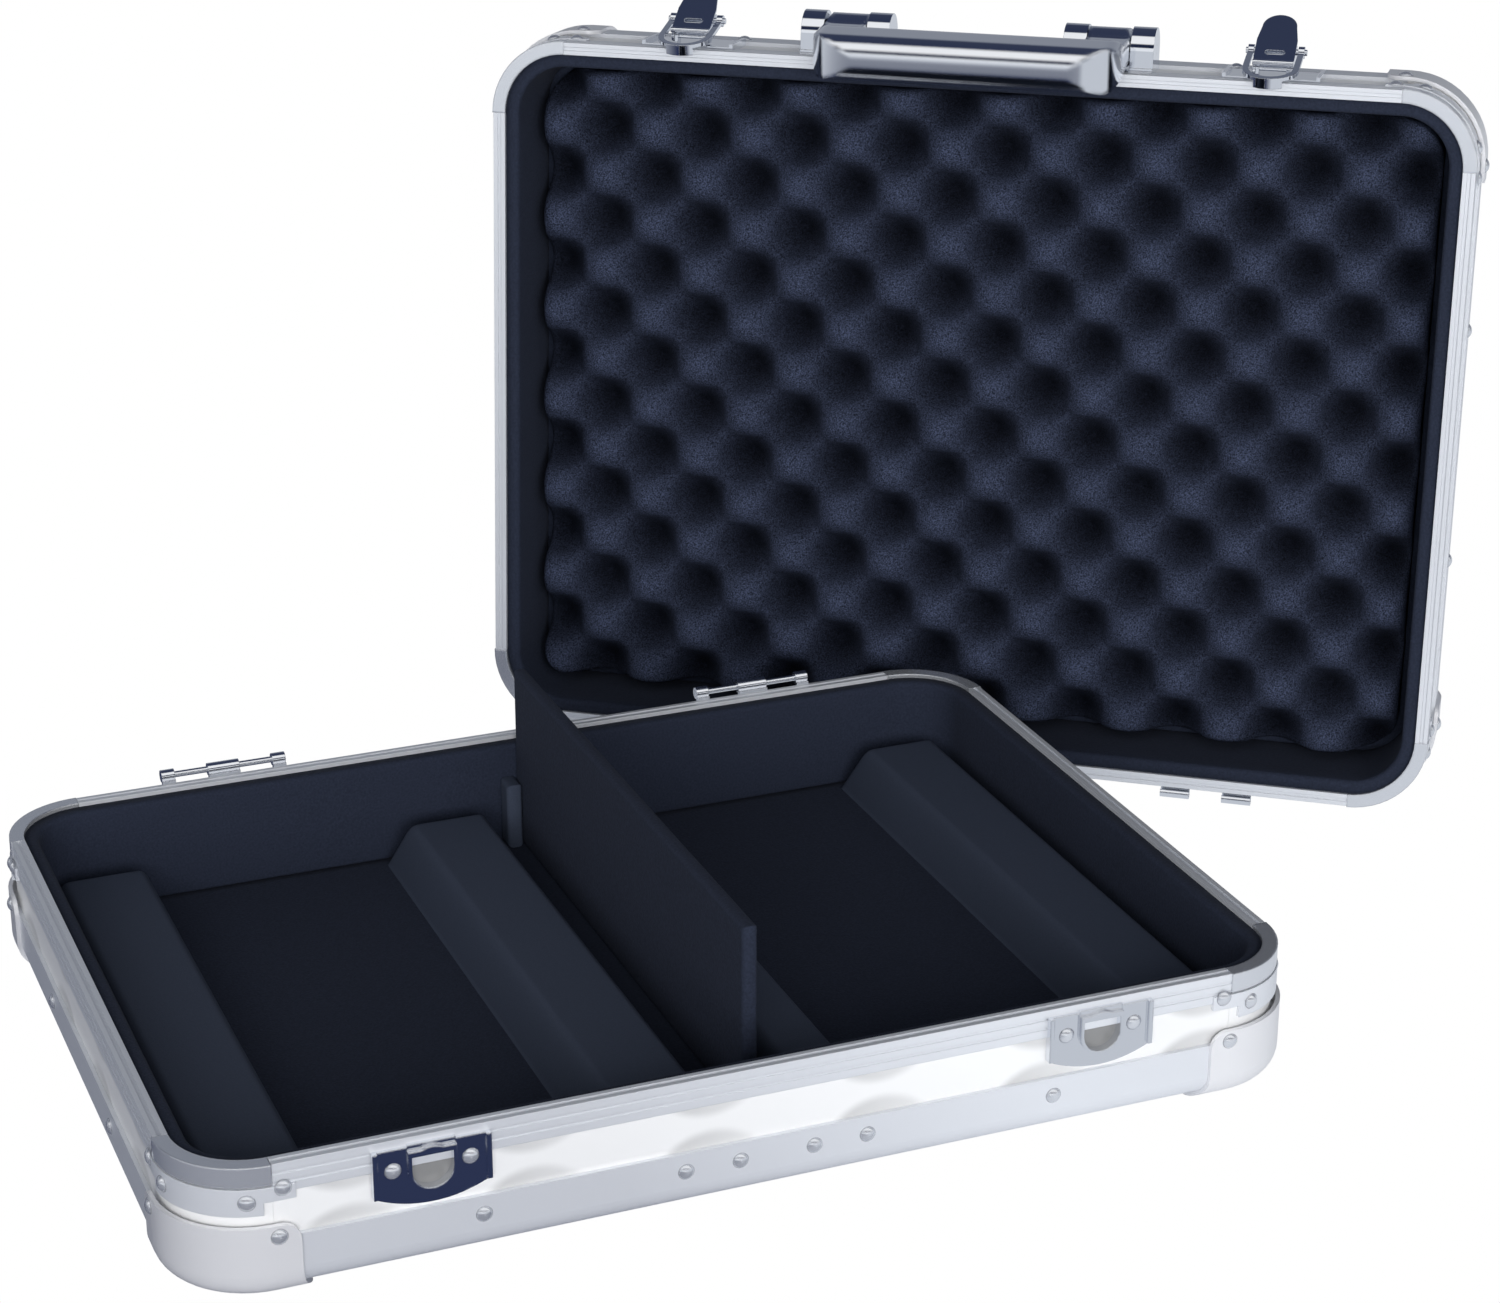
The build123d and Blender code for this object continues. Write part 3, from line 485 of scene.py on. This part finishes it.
def egg_crate(case, foam):
    """The top of the egg-crate foam, and the share of the way from valley to peak at each point.

    With u and v the distances from one peak over the pitches, and w = cos(2 pi u)
    cos(2 pi v), the share is 1/2 + sign(w) |w|^steepness / 2 and the height is
    valley + (peak - valley) share^fullness, less the drop of the rounded edge.
    """
    x, y = rounded_grid(case, foam.inset, foam.columns, foam.rows)
    across = 2 * math.pi * (x - foam.peak_x) / foam.pitch_x
    along = 2 * math.pi * (y - foam.peak_y) / foam.pitch_y
    wave = np.cos(across) * np.cos(along)
    share = 0.5 + 0.5 * np.sign(wave) * np.abs(wave) ** foam.steepness
    height = foam.valley + (foam.peak - foam.valley) * share ** foam.fullness
    half_x = case.width / 2 - foam.inset
    half_y = case.depth / 2 - foam.inset
    edge = np.minimum(half_x - np.abs(x), half_y - np.abs(y))
    top = np.stack([x, y, foam.low + height - edge_drop(edge, foam.edge)], axis=-1)
    return top, share


def side_places(half, side, middle):
    """Places across a bar or board: close together on its sloping sides, sparse between them."""
    inner = half - SIDE_REACH * side
    left = np.linspace(-half, -inner, SIDE_POINTS)
    between = np.linspace(-inner, inner, middle + 2)[1:-1]
    return np.concatenate([left, between, -left[::-1]])


def foam_bar(name, bars, left, right, limit):
    """A foam bar with sloping sides and a soft top edge.

    With d the soft distance to the nearest side, s the slant and m the soft minimum,
    the top lies at low + height m(d / s, 1). Where |x| + |y| passes limit +
    half_length - corner_cut, y moves in by the excess, to clear the round lining.
    """
    centre = (left + right) / 2
    half = (right - left) / 2
    x, y = np.meshgrid(
        side_places(half, bars.slant, BAR_MIDDLE[0]),
        side_places(bars.half_length, bars.slant, BAR_MIDDLE[1]),
    )
    side = soft_min(
        half - np.abs(x), bars.half_length - np.abs(y), bars.slant * bars.softness
    )
    rise = np.clip(side / bars.slant, 0.0, None)
    share = soft_min(rise, np.ones_like(rise), bars.softness)
    top = np.stack([x + centre, y, bars.low + bars.height * np.clip(share, 0.0, 1.0)], axis=-1)
    reach = limit + bars.half_length - bars.corner_cut
    top[..., 1] -= np.sign(y) * np.clip(np.abs(x + centre) + np.abs(y) - reach, 0.0, None)
    bottom = top.copy()
    bottom[..., 2] = bars.low
    return closed_slab(name, top, bottom)


def upright_board(name, low, high, radius):
    """A block between two corners, thinned along X by a quarter circle at its edges.

    With e the distance from an edge of the YZ outline, half the thickness t becomes
    t / 2 less the drop of a rounded edge at e.
    """
    centre = (np.array(low) + np.array(high)) / 2
    half_x, half_y, half_z = (np.array(high) - np.array(low)) / 2
    y, z = np.meshgrid(
        side_places(half_y, radius, BOARD_MIDDLE[0]), side_places(half_z, radius, BOARD_MIDDLE[1])
    )
    half = half_x - edge_drop(np.minimum(half_y - np.abs(y), half_z - np.abs(z)), radius)
    right = np.stack([half, y, z], axis=-1) + centre
    left = np.stack([-half, y, z], axis=-1) + centre
    return closed_slab(name, right, left)


def feed(links, socket, value):
    """Links an output to a socket, or sets a plain value on it."""
    if isinstance(value, bpy.types.NodeSocket):
        links.new(value, socket)
    else:
        socket.default_value = value


def maths(nodes, links, operation, *values):
    """The result of a maths node on outputs or plain numbers."""
    node = nodes.new("ShaderNodeMath")
    node.operation = operation
    for socket, value in zip(node.inputs, values):
        feed(links, socket, value)
    return node.outputs["Value"]


def map_range(nodes, links, value, source, target=(0.0, 1.0), course="LINEAR"):
    """A value carried from one span to another and held inside it."""
    node = nodes.new("ShaderNodeMapRange")
    node.interpolation_type = course
    node.inputs["From Min"].default_value = source[0]
    node.inputs["From Max"].default_value = source[1]
    node.inputs["To Min"].default_value = target[0]
    node.inputs["To Max"].default_value = target[1]
    links.new(value, node.inputs["Value"])
    return node.outputs["Result"]


def scaled(nodes, links, base, share):
    """A colour, plain or from an output, times a share."""
    node = nodes.new("ShaderNodeVectorMath")
    node.operation = "SCALE"
    feed(links, node.inputs[0], base)
    links.new(share, node.inputs["Scale"])
    return node.outputs["Vector"]


def place_parts(nodes, links, spot):
    """The X, Y and Z outputs of a vector."""
    node = nodes.new("ShaderNodeSeparateXYZ")
    links.new(spot, node.inputs["Vector"])
    return node.outputs["X"], node.outputs["Y"], node.outputs["Z"]


def surface_grain():
    """A group that makes a fine grain on a piece: scale and depth in, height and normal out."""
    group = bpy.data.node_groups.new("Surface grain", "ShaderNodeTree")
    for label in ("Scale", "Depth"):
        group.interface.new_socket(label, in_out="INPUT", socket_type="NodeSocketFloat")
    group.interface.new_socket("Height", in_out="OUTPUT", socket_type="NodeSocketFloat")
    group.interface.new_socket("Normal", in_out="OUTPUT", socket_type="NodeSocketVector")
    nodes, links = group.nodes, group.links
    start = nodes.new("NodeGroupInput")
    end = nodes.new("NodeGroupOutput")
    spot = nodes.new("ShaderNodeTexCoord")
    noise = nodes.new("ShaderNodeTexNoise")
    noise.inputs["Detail"].default_value = GRAIN_DETAIL
    bump = nodes.new("ShaderNodeBump")
    bump.inputs["Strength"].default_value = 1.0
    links.new(spot.outputs["Object"], noise.inputs["Vector"])
    links.new(start.outputs["Scale"], noise.inputs["Scale"])
    links.new(noise.outputs["Fac"], bump.inputs["Height"])
    links.new(start.outputs["Depth"], bump.inputs["Distance"])
    links.new(noise.outputs["Fac"], end.inputs["Height"])
    links.new(bump.outputs["Normal"], end.inputs["Normal"])
    return group


def grained_material(name, base, metallic, roughness, scale, depth, speckle=0.0, sheen=0.0):
    """A principled material with grain from the shared group and optional speckles.

    The grain's scale is in features to the metre and its depth in metres. Speckles
    carry the base colour from 1 - speckle to 1 + speckle of itself.
    """
    material = bpy.data.materials.new(name)
    material.use_nodes = True
    nodes, links = material.node_tree.nodes, material.node_tree.links
    shader = nodes["Principled BSDF"]
    shader.inputs["Base Color"].default_value = (*base, 1.0)
    shader.inputs["Metallic"].default_value = metallic
    shader.inputs["Roughness"].default_value = roughness
    shader.inputs["Sheen Weight"].default_value = sheen
    specular = METAL_SPECULAR if metallic > 0.0 else SOFT_SPECULAR
    shader.inputs["Specular IOR Level"].default_value = specular
    grain = nodes.new("ShaderNodeGroup")
    grain.node_tree = bpy.data.node_groups.get("Surface grain") or surface_grain()
    grain.inputs["Scale"].default_value = scale
    grain.inputs["Depth"].default_value = depth
    links.new(grain.outputs["Normal"], shader.inputs["Normal"])
    if speckle > 0.0:
        levels = (1.0 - speckle, 1.0 + speckle)
        share = map_range(nodes, links, grain.outputs["Height"], SPECKLE_SPAN, levels)
        links.new(scaled(nodes, links, base, share), shader.inputs["Base Color"])
    return material


def soften_edges(material, radius):
    """Lets the light catch the edges of sharp pieces, as on bent and stamped sheet."""
    nodes, links = material.node_tree.nodes, material.node_tree.links
    shader = nodes["Principled BSDF"]
    bevel = nodes.new("ShaderNodeBevel")
    bevel.samples = EDGE_SAMPLES
    bevel.inputs["Radius"].default_value = radius
    links.new(shader.inputs["Normal"].links[0].from_socket, bevel.inputs["Normal"])
    links.new(bevel.outputs["Normal"], shader.inputs["Normal"])


def with_edge(metal, name, radius):
    """A copy of a metal whose edges catch the light over another radius."""
    material = metal.copy()
    material.name = name
    material.node_tree.nodes["Bevel"].inputs["Radius"].default_value = radius
    return material


def paint_valley_shade(material, valley_shade_share):
    """Paints shade into the foam's valleys, scaling its colour from a dark share to full along the
    shade value of each vertex.
    """
    nodes, links = material.node_tree.nodes, material.node_tree.links
    socket = nodes["Principled BSDF"].inputs["Base Color"]
    shade = nodes.new("ShaderNodeAttribute")
    shade.attribute_name = "shade"
    share = map_range(nodes, links, shade.outputs["Fac"], (0.0, 1.0), (valley_shade_share, 1.0))
    links.new(scaled(nodes, links, socket.links[0].from_socket, share), socket)


def inside_circle(nodes, links, across, height, middle, radius, blur):
    """1 inside a circle on the wall and 0 outside, with a soft border.

    The distance is sqrt(across^2 + (height - middle)^2), and the border runs from
    radius - blur to radius + blur.
    """
    rise = maths(nodes, links, "SUBTRACT", height, middle)
    squares = maths(nodes, links, "MULTIPLY", across, across)
    total = maths(nodes, links, "MULTIPLY_ADD", rise, rise, squares)
    distance = maths(nodes, links, "SQRT", total)
    span = (radius + blur, radius - blur)
    return map_range(nodes, links, distance, span, course="SMOOTHSTEP")


def scallop_shade_loss(nodes, links, along, height, sizes):
    """The share of the colour that the painted shade of two rows of scallops takes away along a wall.

    The remainder of the place along the wall over the pitch gives the place inside
    one scallop, and the painted shade falls evenly from its dark end to its light end.
    """
    half = sizes.pitch / 2
    shifted = maths(nodes, links, "SUBTRACT", along, sizes.start - half)
    wrapped = maths(nodes, links, "FLOORED_MODULO", shifted, sizes.pitch)
    across = maths(nodes, links, "SUBTRACT", wrapped, half)
    rows = [
        inside_circle(nodes, links, across, height, middle, sizes.radius, sizes.blur)
        for middle in (sizes.low, sizes.high)
    ]
    pressed = maths(nodes, links, "MAXIMUM", *rows)
    fade = map_range(nodes, links, across, (-half, half), (sizes.dark_end, sizes.light_end))
    return maths(nodes, links, "MULTIPLY", pressed, fade)


def recess_shade_loss(nodes, links, spot, sizes):
    """The share of the colour that painted shade in the recess behind each strike takes away, on the
    front side.
    """
    x, y, z = spot
    mirrored = maths(nodes, links, "ABSOLUTE", x)
    beside = maths(nodes, links, "SUBTRACT", mirrored, sizes.recess_x)
    recess = inside_circle(
        nodes, links, beside, z, sizes.recess_z, sizes.recess_radius, sizes.blur / 4
    )
    front = maths(nodes, links, "LESS_THAN", y, 0.0)
    hole = maths(nodes, links, "MULTIPLY", recess, front)
    return maths(nodes, links, "MULTIPLY", hole, sizes.recess_shade_loss)


def paint_laminate_shade(material, sizes):
    """Paints shade into the silver laminate for the base's pressed scallops and strike recesses.

    X plus Y is the place along a straight wall of the base, and Z its height. The
    lid's laminate has this material too, so it shows the rows where it stands low.
    """
    nodes, links = material.node_tree.nodes, material.node_tree.links
    socket = nodes["Principled BSDF"].inputs["Base Color"]
    spot = place_parts(nodes, links, nodes.new("ShaderNodeTexCoord").outputs["Object"])
    along = maths(nodes, links, "ADD", spot[0], spot[1])
    scallops = scallop_shade_loss(nodes, links, along, spot[2], sizes)
    loss = maths(nodes, links, "MAXIMUM", scallops, recess_shade_loss(nodes, links, spot, sizes))
    left = maths(nodes, links, "SUBTRACT", 1.0, loss)
    links.new(scaled(nodes, links, socket.default_value[:3], left), socket)


def slot_finishes(look):
    """The finish of each material slot in the record."""
    return {
        "silver_laminate": grained_material(
            "Silver laminate", look.laminate, metallic=0.35, roughness=0.35, scale=260.0, depth=0.00001
        ),
        "satin_aluminium": grained_material(
            "Satin aluminium", look.aluminium, metallic=0.55, roughness=0.38, scale=500.0, depth=0.00001
        ),
        "polished_steel": grained_material(
            "Polished steel", look.steel, metallic=0.5, roughness=0.32, scale=300.0, depth=0.00001
        ),
        "chrome": grained_material(
            "Chrome", look.chrome, metallic=1.0, roughness=0.05, scale=60.0, depth=0.000004
        ),
        "lining_cloth": grained_material(
            "Lining cloth",
            look.cloth,
            metallic=0.0,
            roughness=0.95,
            scale=900.0,
            depth=0.0003,
            speckle=0.2,
            sheen=0.01,
        ),
        "grey_foam": grained_material(
            "Grey foam",
            look.bar,
            metallic=0.0,
            roughness=0.85,
            scale=1500.0,
            depth=0.0001,
            speckle=0.1,
        ),
        "blue_black_foam": grained_material(
            "Blue-black foam",
            look.foam,
            metallic=0.0,
            roughness=0.95,
            scale=1300.0,
            depth=0.0006,
            speckle=0.75,
        ),
    }


def give(obj, material):
    """The object shows only this material."""
    obj.data.materials.clear()
    obj.data.materials.append(material)


def finish_piece(obj, body, material, nodes):
    """Sets the finish of a new padded piece, its body, and the pieces that it stands for."""
    give(obj, material)
    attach(obj, body)
    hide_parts(*nodes)


class CASE_OT_finishes(bpy.types.Operator):
    """Give every rigid piece its procedural finish"""

    bl_idname = "flight_case.finishes"
    bl_label = "Finish the rigid pieces"

    def execute(self, context):
        look = context.scene.case_finishes
        made = slot_finishes(look)
        for slot in METALS:
            soften_edges(made[slot], look.edge)
        # Painted shade of the laminate's scallops and strike recesses
        paint_laminate_shade(made["silver_laminate"], context.scene.case_scallops)
        # Painted shade in the foam's valleys
        paint_valley_shade(made["blue_black_foam"], context.scene.case_foam.valley_shade_share)
        rounded = with_edge(made["chrome"], "Rounded chrome", look.handle_edge)
        stamped = with_edge(made["chrome"], "Stamped chrome", look.stamped_edge)
        caps = grained_material(
            "Bright caps", look.cap, metallic=0.75, roughness=0.2, scale=300.0, depth=0.00001
        )
        soften_edges(caps, look.stamped_edge)
        for row in frame["record"]["subparts"]:
            give(frame["nodes"][row["node"]], made[row["material_slot"]])
        give(frame["nodes"]["handle"], rounded)
        for side in ("left", "right"):
            give(frame["nodes"][side + "_strike"], stamped)
        for half in ("base", "lid"):
            for piece in ("_rim_caps", "_rivets"):
                give(frame["nodes"][half + piece], caps)
        return {"FINISHED"}


class CASE_OT_linings(bpy.types.Operator):
    """Build the padded wall linings and the felt of both halves"""

    bl_idname = "flight_case.linings"
    bl_label = "Build the linings"

    def execute(self, context):
        case = context.scene.case_sizes
        lining = context.scene.case_lining
        cloth = bpy.data.materials["Lining cloth"]
        section = lining_section(lining)
        # The felt ends under the soft foot of the lining
        x, y = rounded_grid(case, lining.inner - lining.softness, *FELT_GRID)
        for half, matrix in (("base", np.eye(4)), ("lid", lid_matrix(case))):
            wall = swept_ring(
                half + "_lining_pad", case, section, lining.samples, matrix, lining.wave
            )
            finish_piece(wall, half, cloth, [half + "_wall_lining"])
            felt = flat_slab(half + "_felt_cloth", x, y, lining.felt_low, lining.felt_high, matrix)
            finish_piece(felt, half, cloth, [half + "_panel_felt"])
        return {"FINISHED"}


class CASE_OT_egg_foam(bpy.types.Operator):
    """Build the egg-crate foam of the lid"""

    bl_idname = "flight_case.egg_foam"
    bl_label = "Build the egg-crate foam"

    def execute(self, context):
        case = context.scene.case_sizes
        foam = context.scene.case_foam
        top, share = egg_crate(case, foam)
        bottom = top.copy()
        bottom[..., 2] = foam.low
        matrix = lid_matrix(case)
        pad = closed_slab("egg_crate_pad", place(top, matrix), place(bottom, matrix))
        # The share from valley to peak drives the painted shade in the foam's valleys
        add_shade(pad, np.concatenate([share.ravel(), np.zeros(share.size)]))
        material = bpy.data.materials["Blue-black foam"]
        finish_piece(pad, "lid", material, ["egg_crate_foam"])
        return {"FINISHED"}


class CASE_OT_bars(bpy.types.Operator):
    """Build the four foam bars and the cloth-covered divider with its guide"""

    bl_idname = "flight_case.bars"
    bl_label = "Build the foam bars and the divider"

    def execute(self, context):
        case = context.scene.case_sizes
        bars = context.scene.case_bars
        foam = bpy.data.materials["Grey foam"]
        cloth = bpy.data.materials["Lining cloth"]
        limit = case.width / 2 - context.scene.case_lining.inner
        for number, (left, right) in enumerate(BAR_SPANS, 1):
            bar = foam_bar(
                "soft_bar_%d" % number, bars, left * MILLIMETRE, right * MILLIMETRE, limit
            )
            finish_piece(bar, "base", foam, ["foam_bar_%d" % number])
        cover = upright_board(
            "divider_cover",
            (bars.divider_left, bars.divider_front, bars.divider_low),
            (bars.divider_left + bars.divider_thickness, bars.divider_rear, bars.divider_high),
            bars.divider_round,
        )
        finish_piece(cover, "loose_divider", cloth, ["divider"])
        guide = upright_board(
            "soft_guide",
            (bars.guide_left, bars.guide_front, bars.guide_low),
            (bars.guide_left + bars.guide_thickness, bars.guide_rear, bars.guide_high),
            bars.divider_round,
        )
        finish_piece(guide, "base", foam, ["divider_guide"])
        return {"FINISHED"}


def area_light(name, watts, location, size):
    """A soft rectangular light that faces the target and shows in no mirror.

    With d from the target to the light, it tilts by atan2(|d across the floor|, dz)
    and turns by atan2(dx, -dy).
    """
    light = bpy.data.lights.new(name, "AREA")
    light.shape = "RECTANGLE"
    light.size, light.size_y = size
    light.energy = watts
    obj = bpy.data.objects.new(name, light)
    obj.location = location
    away = np.array(location) - np.array(LIGHT_TARGET)
    tilt = math.atan2(float(np.linalg.norm(away[:2])), away[2])
    obj.rotation_euler = (tilt, 0.0, math.atan2(away[0], -away[1]))
    obj.visible_glossy = False
    bpy.context.scene.collection.objects.link(obj)


def add_camera(studio):
    """The camera at its place, turned about the upright and tilted down from the horizon."""
    scene = bpy.context.scene
    camera = bpy.data.objects.new("camera", bpy.data.cameras.new("camera"))
    camera.data.sensor_width = FILM_WIDTH
    camera.data.lens = studio.focal
    camera.data.clip_start = NEAREST
    camera.data.clip_end = FARTHEST
    camera.location = (studio.camera_x, studio.camera_y, studio.camera_z)
    camera.rotation_euler = (math.pi / 2 + studio.pitch, 0.0, studio.yaw)
    scene.collection.objects.link(camera)
    scene.camera = camera


def banded_surroundings(nodes, links, yaw):
    """Bright and dark bands around the case, by the angle of the ray over the top.

    The angle is atan2(z, f), where f is the part of the direction toward the front.
    """
    direction = nodes.new("ShaderNodeTexCoord").outputs["Generated"]
    front = nodes.new("ShaderNodeVectorMath")
    front.operation = "DOT_PRODUCT"
    front.inputs[1].default_value = (math.sin(yaw), -math.cos(yaw), 0.0)
    links.new(direction, front.inputs[0])
    upward = place_parts(nodes, links, direction)[2]
    bearing = maths(nodes, links, "ARCTAN2", upward, front.outputs["Value"])
    ramp = nodes.new("ShaderNodeValToRGB")
    links.new(map_range(nodes, links, bearing, (-math.pi, math.pi)), ramp.inputs["Fac"])
    stops = ramp.color_ramp.elements
    while len(stops) < len(MIRRORED_BANDS):
        stops.new(0.5)
    for stop, (degrees, shade) in zip(stops, MIRRORED_BANDS):
        stop.position = (degrees + 180.0) / 360.0
        stop.color = (*shade, 1.0)
    return ramp.outputs["Color"]


def three_ways(tree, output, camera, glossy, other):
    """Shows one shader to the camera, one to mirrored rays and one to all other rays."""
    nodes, links = tree.nodes, tree.links
    rays = nodes.new("ShaderNodeLightPath")
    mirrored = nodes.new("ShaderNodeMixShader")
    seen = nodes.new("ShaderNodeMixShader")
    links.new(rays.outputs["Is Glossy Ray"], mirrored.inputs["Fac"])
    links.new(other, mirrored.inputs[1])
    links.new(glossy, mirrored.inputs[2])
    links.new(rays.outputs["Is Camera Ray"], seen.inputs["Fac"])
    links.new(mirrored.outputs["Shader"], seen.inputs[1])
    links.new(camera, seen.inputs[2])
    links.new(seen.outputs["Shader"], output.inputs["Surface"])


def studio_world(studio):
    """A world that is white to the camera, banded to polished pieces and soft grey otherwise.

    The soft light has the strength fill at the horizon and below it, and falls evenly
    with the height of the direction to overhead straight above.
    """
    world = bpy.data.worlds.new("Studio")
    bpy.context.scene.world = world
    world.use_nodes = True
    nodes, links = world.node_tree.nodes, world.node_tree.links
    nodes.clear()
    output = nodes.new("ShaderNodeOutputWorld")
    seen = nodes.new("ShaderNodeBackground")
    seen.inputs["Color"].default_value = (1.0, 1.0, 1.0, 1.0)
    bands = nodes.new("ShaderNodeBackground")
    links.new(banded_surroundings(nodes, links, studio.yaw), bands.inputs["Color"])
    lit = nodes.new("ShaderNodeBackground")
    lit.inputs["Color"].default_value = (*studio.sky, 1.0)
    direction = nodes.new("ShaderNodeTexCoord").outputs["Generated"]
    upward = place_parts(nodes, links, direction)[2]
    strength = map_range(nodes, links, upward, (0.0, 1.0), (studio.fill, studio.overhead))
    links.new(strength, lit.inputs["Strength"])
    shaders = [node.outputs["Background"] for node in (seen, bands, lit)]
    three_ways(world.node_tree, output, *shaders)


def mirrored_floor(nodes, links, studio):
    """The colour of the floor in polished pieces: dark near and left of the case, bright elsewhere.

    The brightness is the larger of two shares: one grows along X, and one with the
    distance from the middle of the base.
    """
    spot = nodes.new("ShaderNodeTexCoord").outputs["Object"]
    distance = nodes.new("ShaderNodeVectorMath")
    distance.operation = "LENGTH"
    links.new(spot, distance.inputs[0])
    away = map_range(nodes, links, distance.outputs["Value"], (studio.near, studio.far))
    x = place_parts(nodes, links, spot)[0]
    aside = map_range(nodes, links, x, (studio.dark_side, studio.bright_side))
    mix = nodes.new("ShaderNodeMix")
    mix.data_type = "RGBA"
    mix.inputs["A"].default_value = (*studio.floor_dark, 1.0)
    mix.inputs["B"].default_value = (*studio.floor_bright, 1.0)
    links.new(maths(nodes, links, "MAXIMUM", away, aside), mix.inputs["Factor"])
    return mix.outputs["Result"]


def floor_material(studio):
    """A floor that is white to the camera, dark to bright in polished pieces and pale otherwise."""
    material = bpy.data.materials.new("Studio floor")
    material.use_nodes = True
    nodes, links = material.node_tree.nodes, material.node_tree.links
    nodes.clear()
    output = nodes.new("ShaderNodeOutputMaterial")
    white = nodes.new("ShaderNodeEmission")
    mirrored = nodes.new("ShaderNodeEmission")
    links.new(mirrored_floor(nodes, links, studio), mirrored.inputs["Color"])
    paint = nodes.new("ShaderNodeBsdfDiffuse")
    paint.inputs["Color"].default_value = (*studio.paint, 1.0)
    shaders = (white.outputs["Emission"], mirrored.outputs["Emission"], paint.outputs["BSDF"])
    three_ways(material.node_tree, output, *shaders)
    return material


class CASE_OT_stage(bpy.types.Operator):
    """Build the floor, the lights and the camera"""

    bl_idname = "flight_case.stage"
    bl_label = "Build the studio"

    def execute(self, context):
        studio = context.scene.case_studio
        context.scene.view_settings.view_transform = "Standard"
        studio_world(studio)
        corners = FLOOR_HALF * np.array([[-1, -1, 0], [1, -1, 0], [1, 1, 0], [-1, 1, 0]])
        floor = mesh_object("studio_floor", corners, np.array([[0, 1, 2, 3]]))
        give(floor, floor_material(studio))
        area_light("key_light", studio.key, location=(0.2, 0.2, 2.4), size=(2.4, 2.0))
        area_light("side_light", studio.side, location=(-2.4, -0.8, 1.2), size=(1.2, 1.6))
        area_light("front_light", studio.front, location=(-0.6, -2.6, 0.8), size=(2.2, 1.2))
        add_camera(studio)
        return {"FINISHED"}


class CASE_PT_panel(bpy.types.Panel):
    """Buttons that build the looks of the case"""

    bl_label = "Flight case"
    bl_idname = "CASE_PT_panel"
    bl_space_type = "VIEW_3D"
    bl_region_type = "UI"
    bl_category = "Flight case"

    def draw(self, context):
        for operator in OPERATORS:
            self.layout.operator(operator.bl_idname)


SETTINGS = {
    "case_sizes": CaseSettings,
    "case_lining": LiningSettings,
    "case_foam": FoamSettings,
    "case_bars": BarSettings,
    "case_finishes": FinishSettings,
    "case_scallops": ScallopSettings,
    "case_studio": StudioSettings,
}
OPERATORS = (CASE_OT_finishes, CASE_OT_linings, CASE_OT_egg_foam, CASE_OT_bars, CASE_OT_stage)


def register():
    """Registers the settings, operators and panel."""
    for name, group in SETTINGS.items():
        bpy.utils.register_class(group)
        setattr(bpy.types.Scene, name, PointerProperty(type=group))
    for operator in OPERATORS:
        bpy.utils.register_class(operator)
    bpy.utils.register_class(CASE_PT_panel)


def unregister():
    """Removes the settings, operators and panel again."""
    bpy.utils.unregister_class(CASE_PT_panel)
    for operator in reversed(OPERATORS):
        bpy.utils.unregister_class(operator)
    for name, group in reversed(list(SETTINGS.items())):
        delattr(bpy.types.Scene, name)
        bpy.utils.unregister_class(group)


def main():
    """Registers the add-on and builds everything."""
    register()
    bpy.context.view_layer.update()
    bpy.ops.flight_case.finishes()
    bpy.ops.flight_case.linings()
    bpy.ops.flight_case.egg_foam()
    bpy.ops.flight_case.bars()
    bpy.ops.flight_case.stage()


if __name__ == "__main__":
    main()
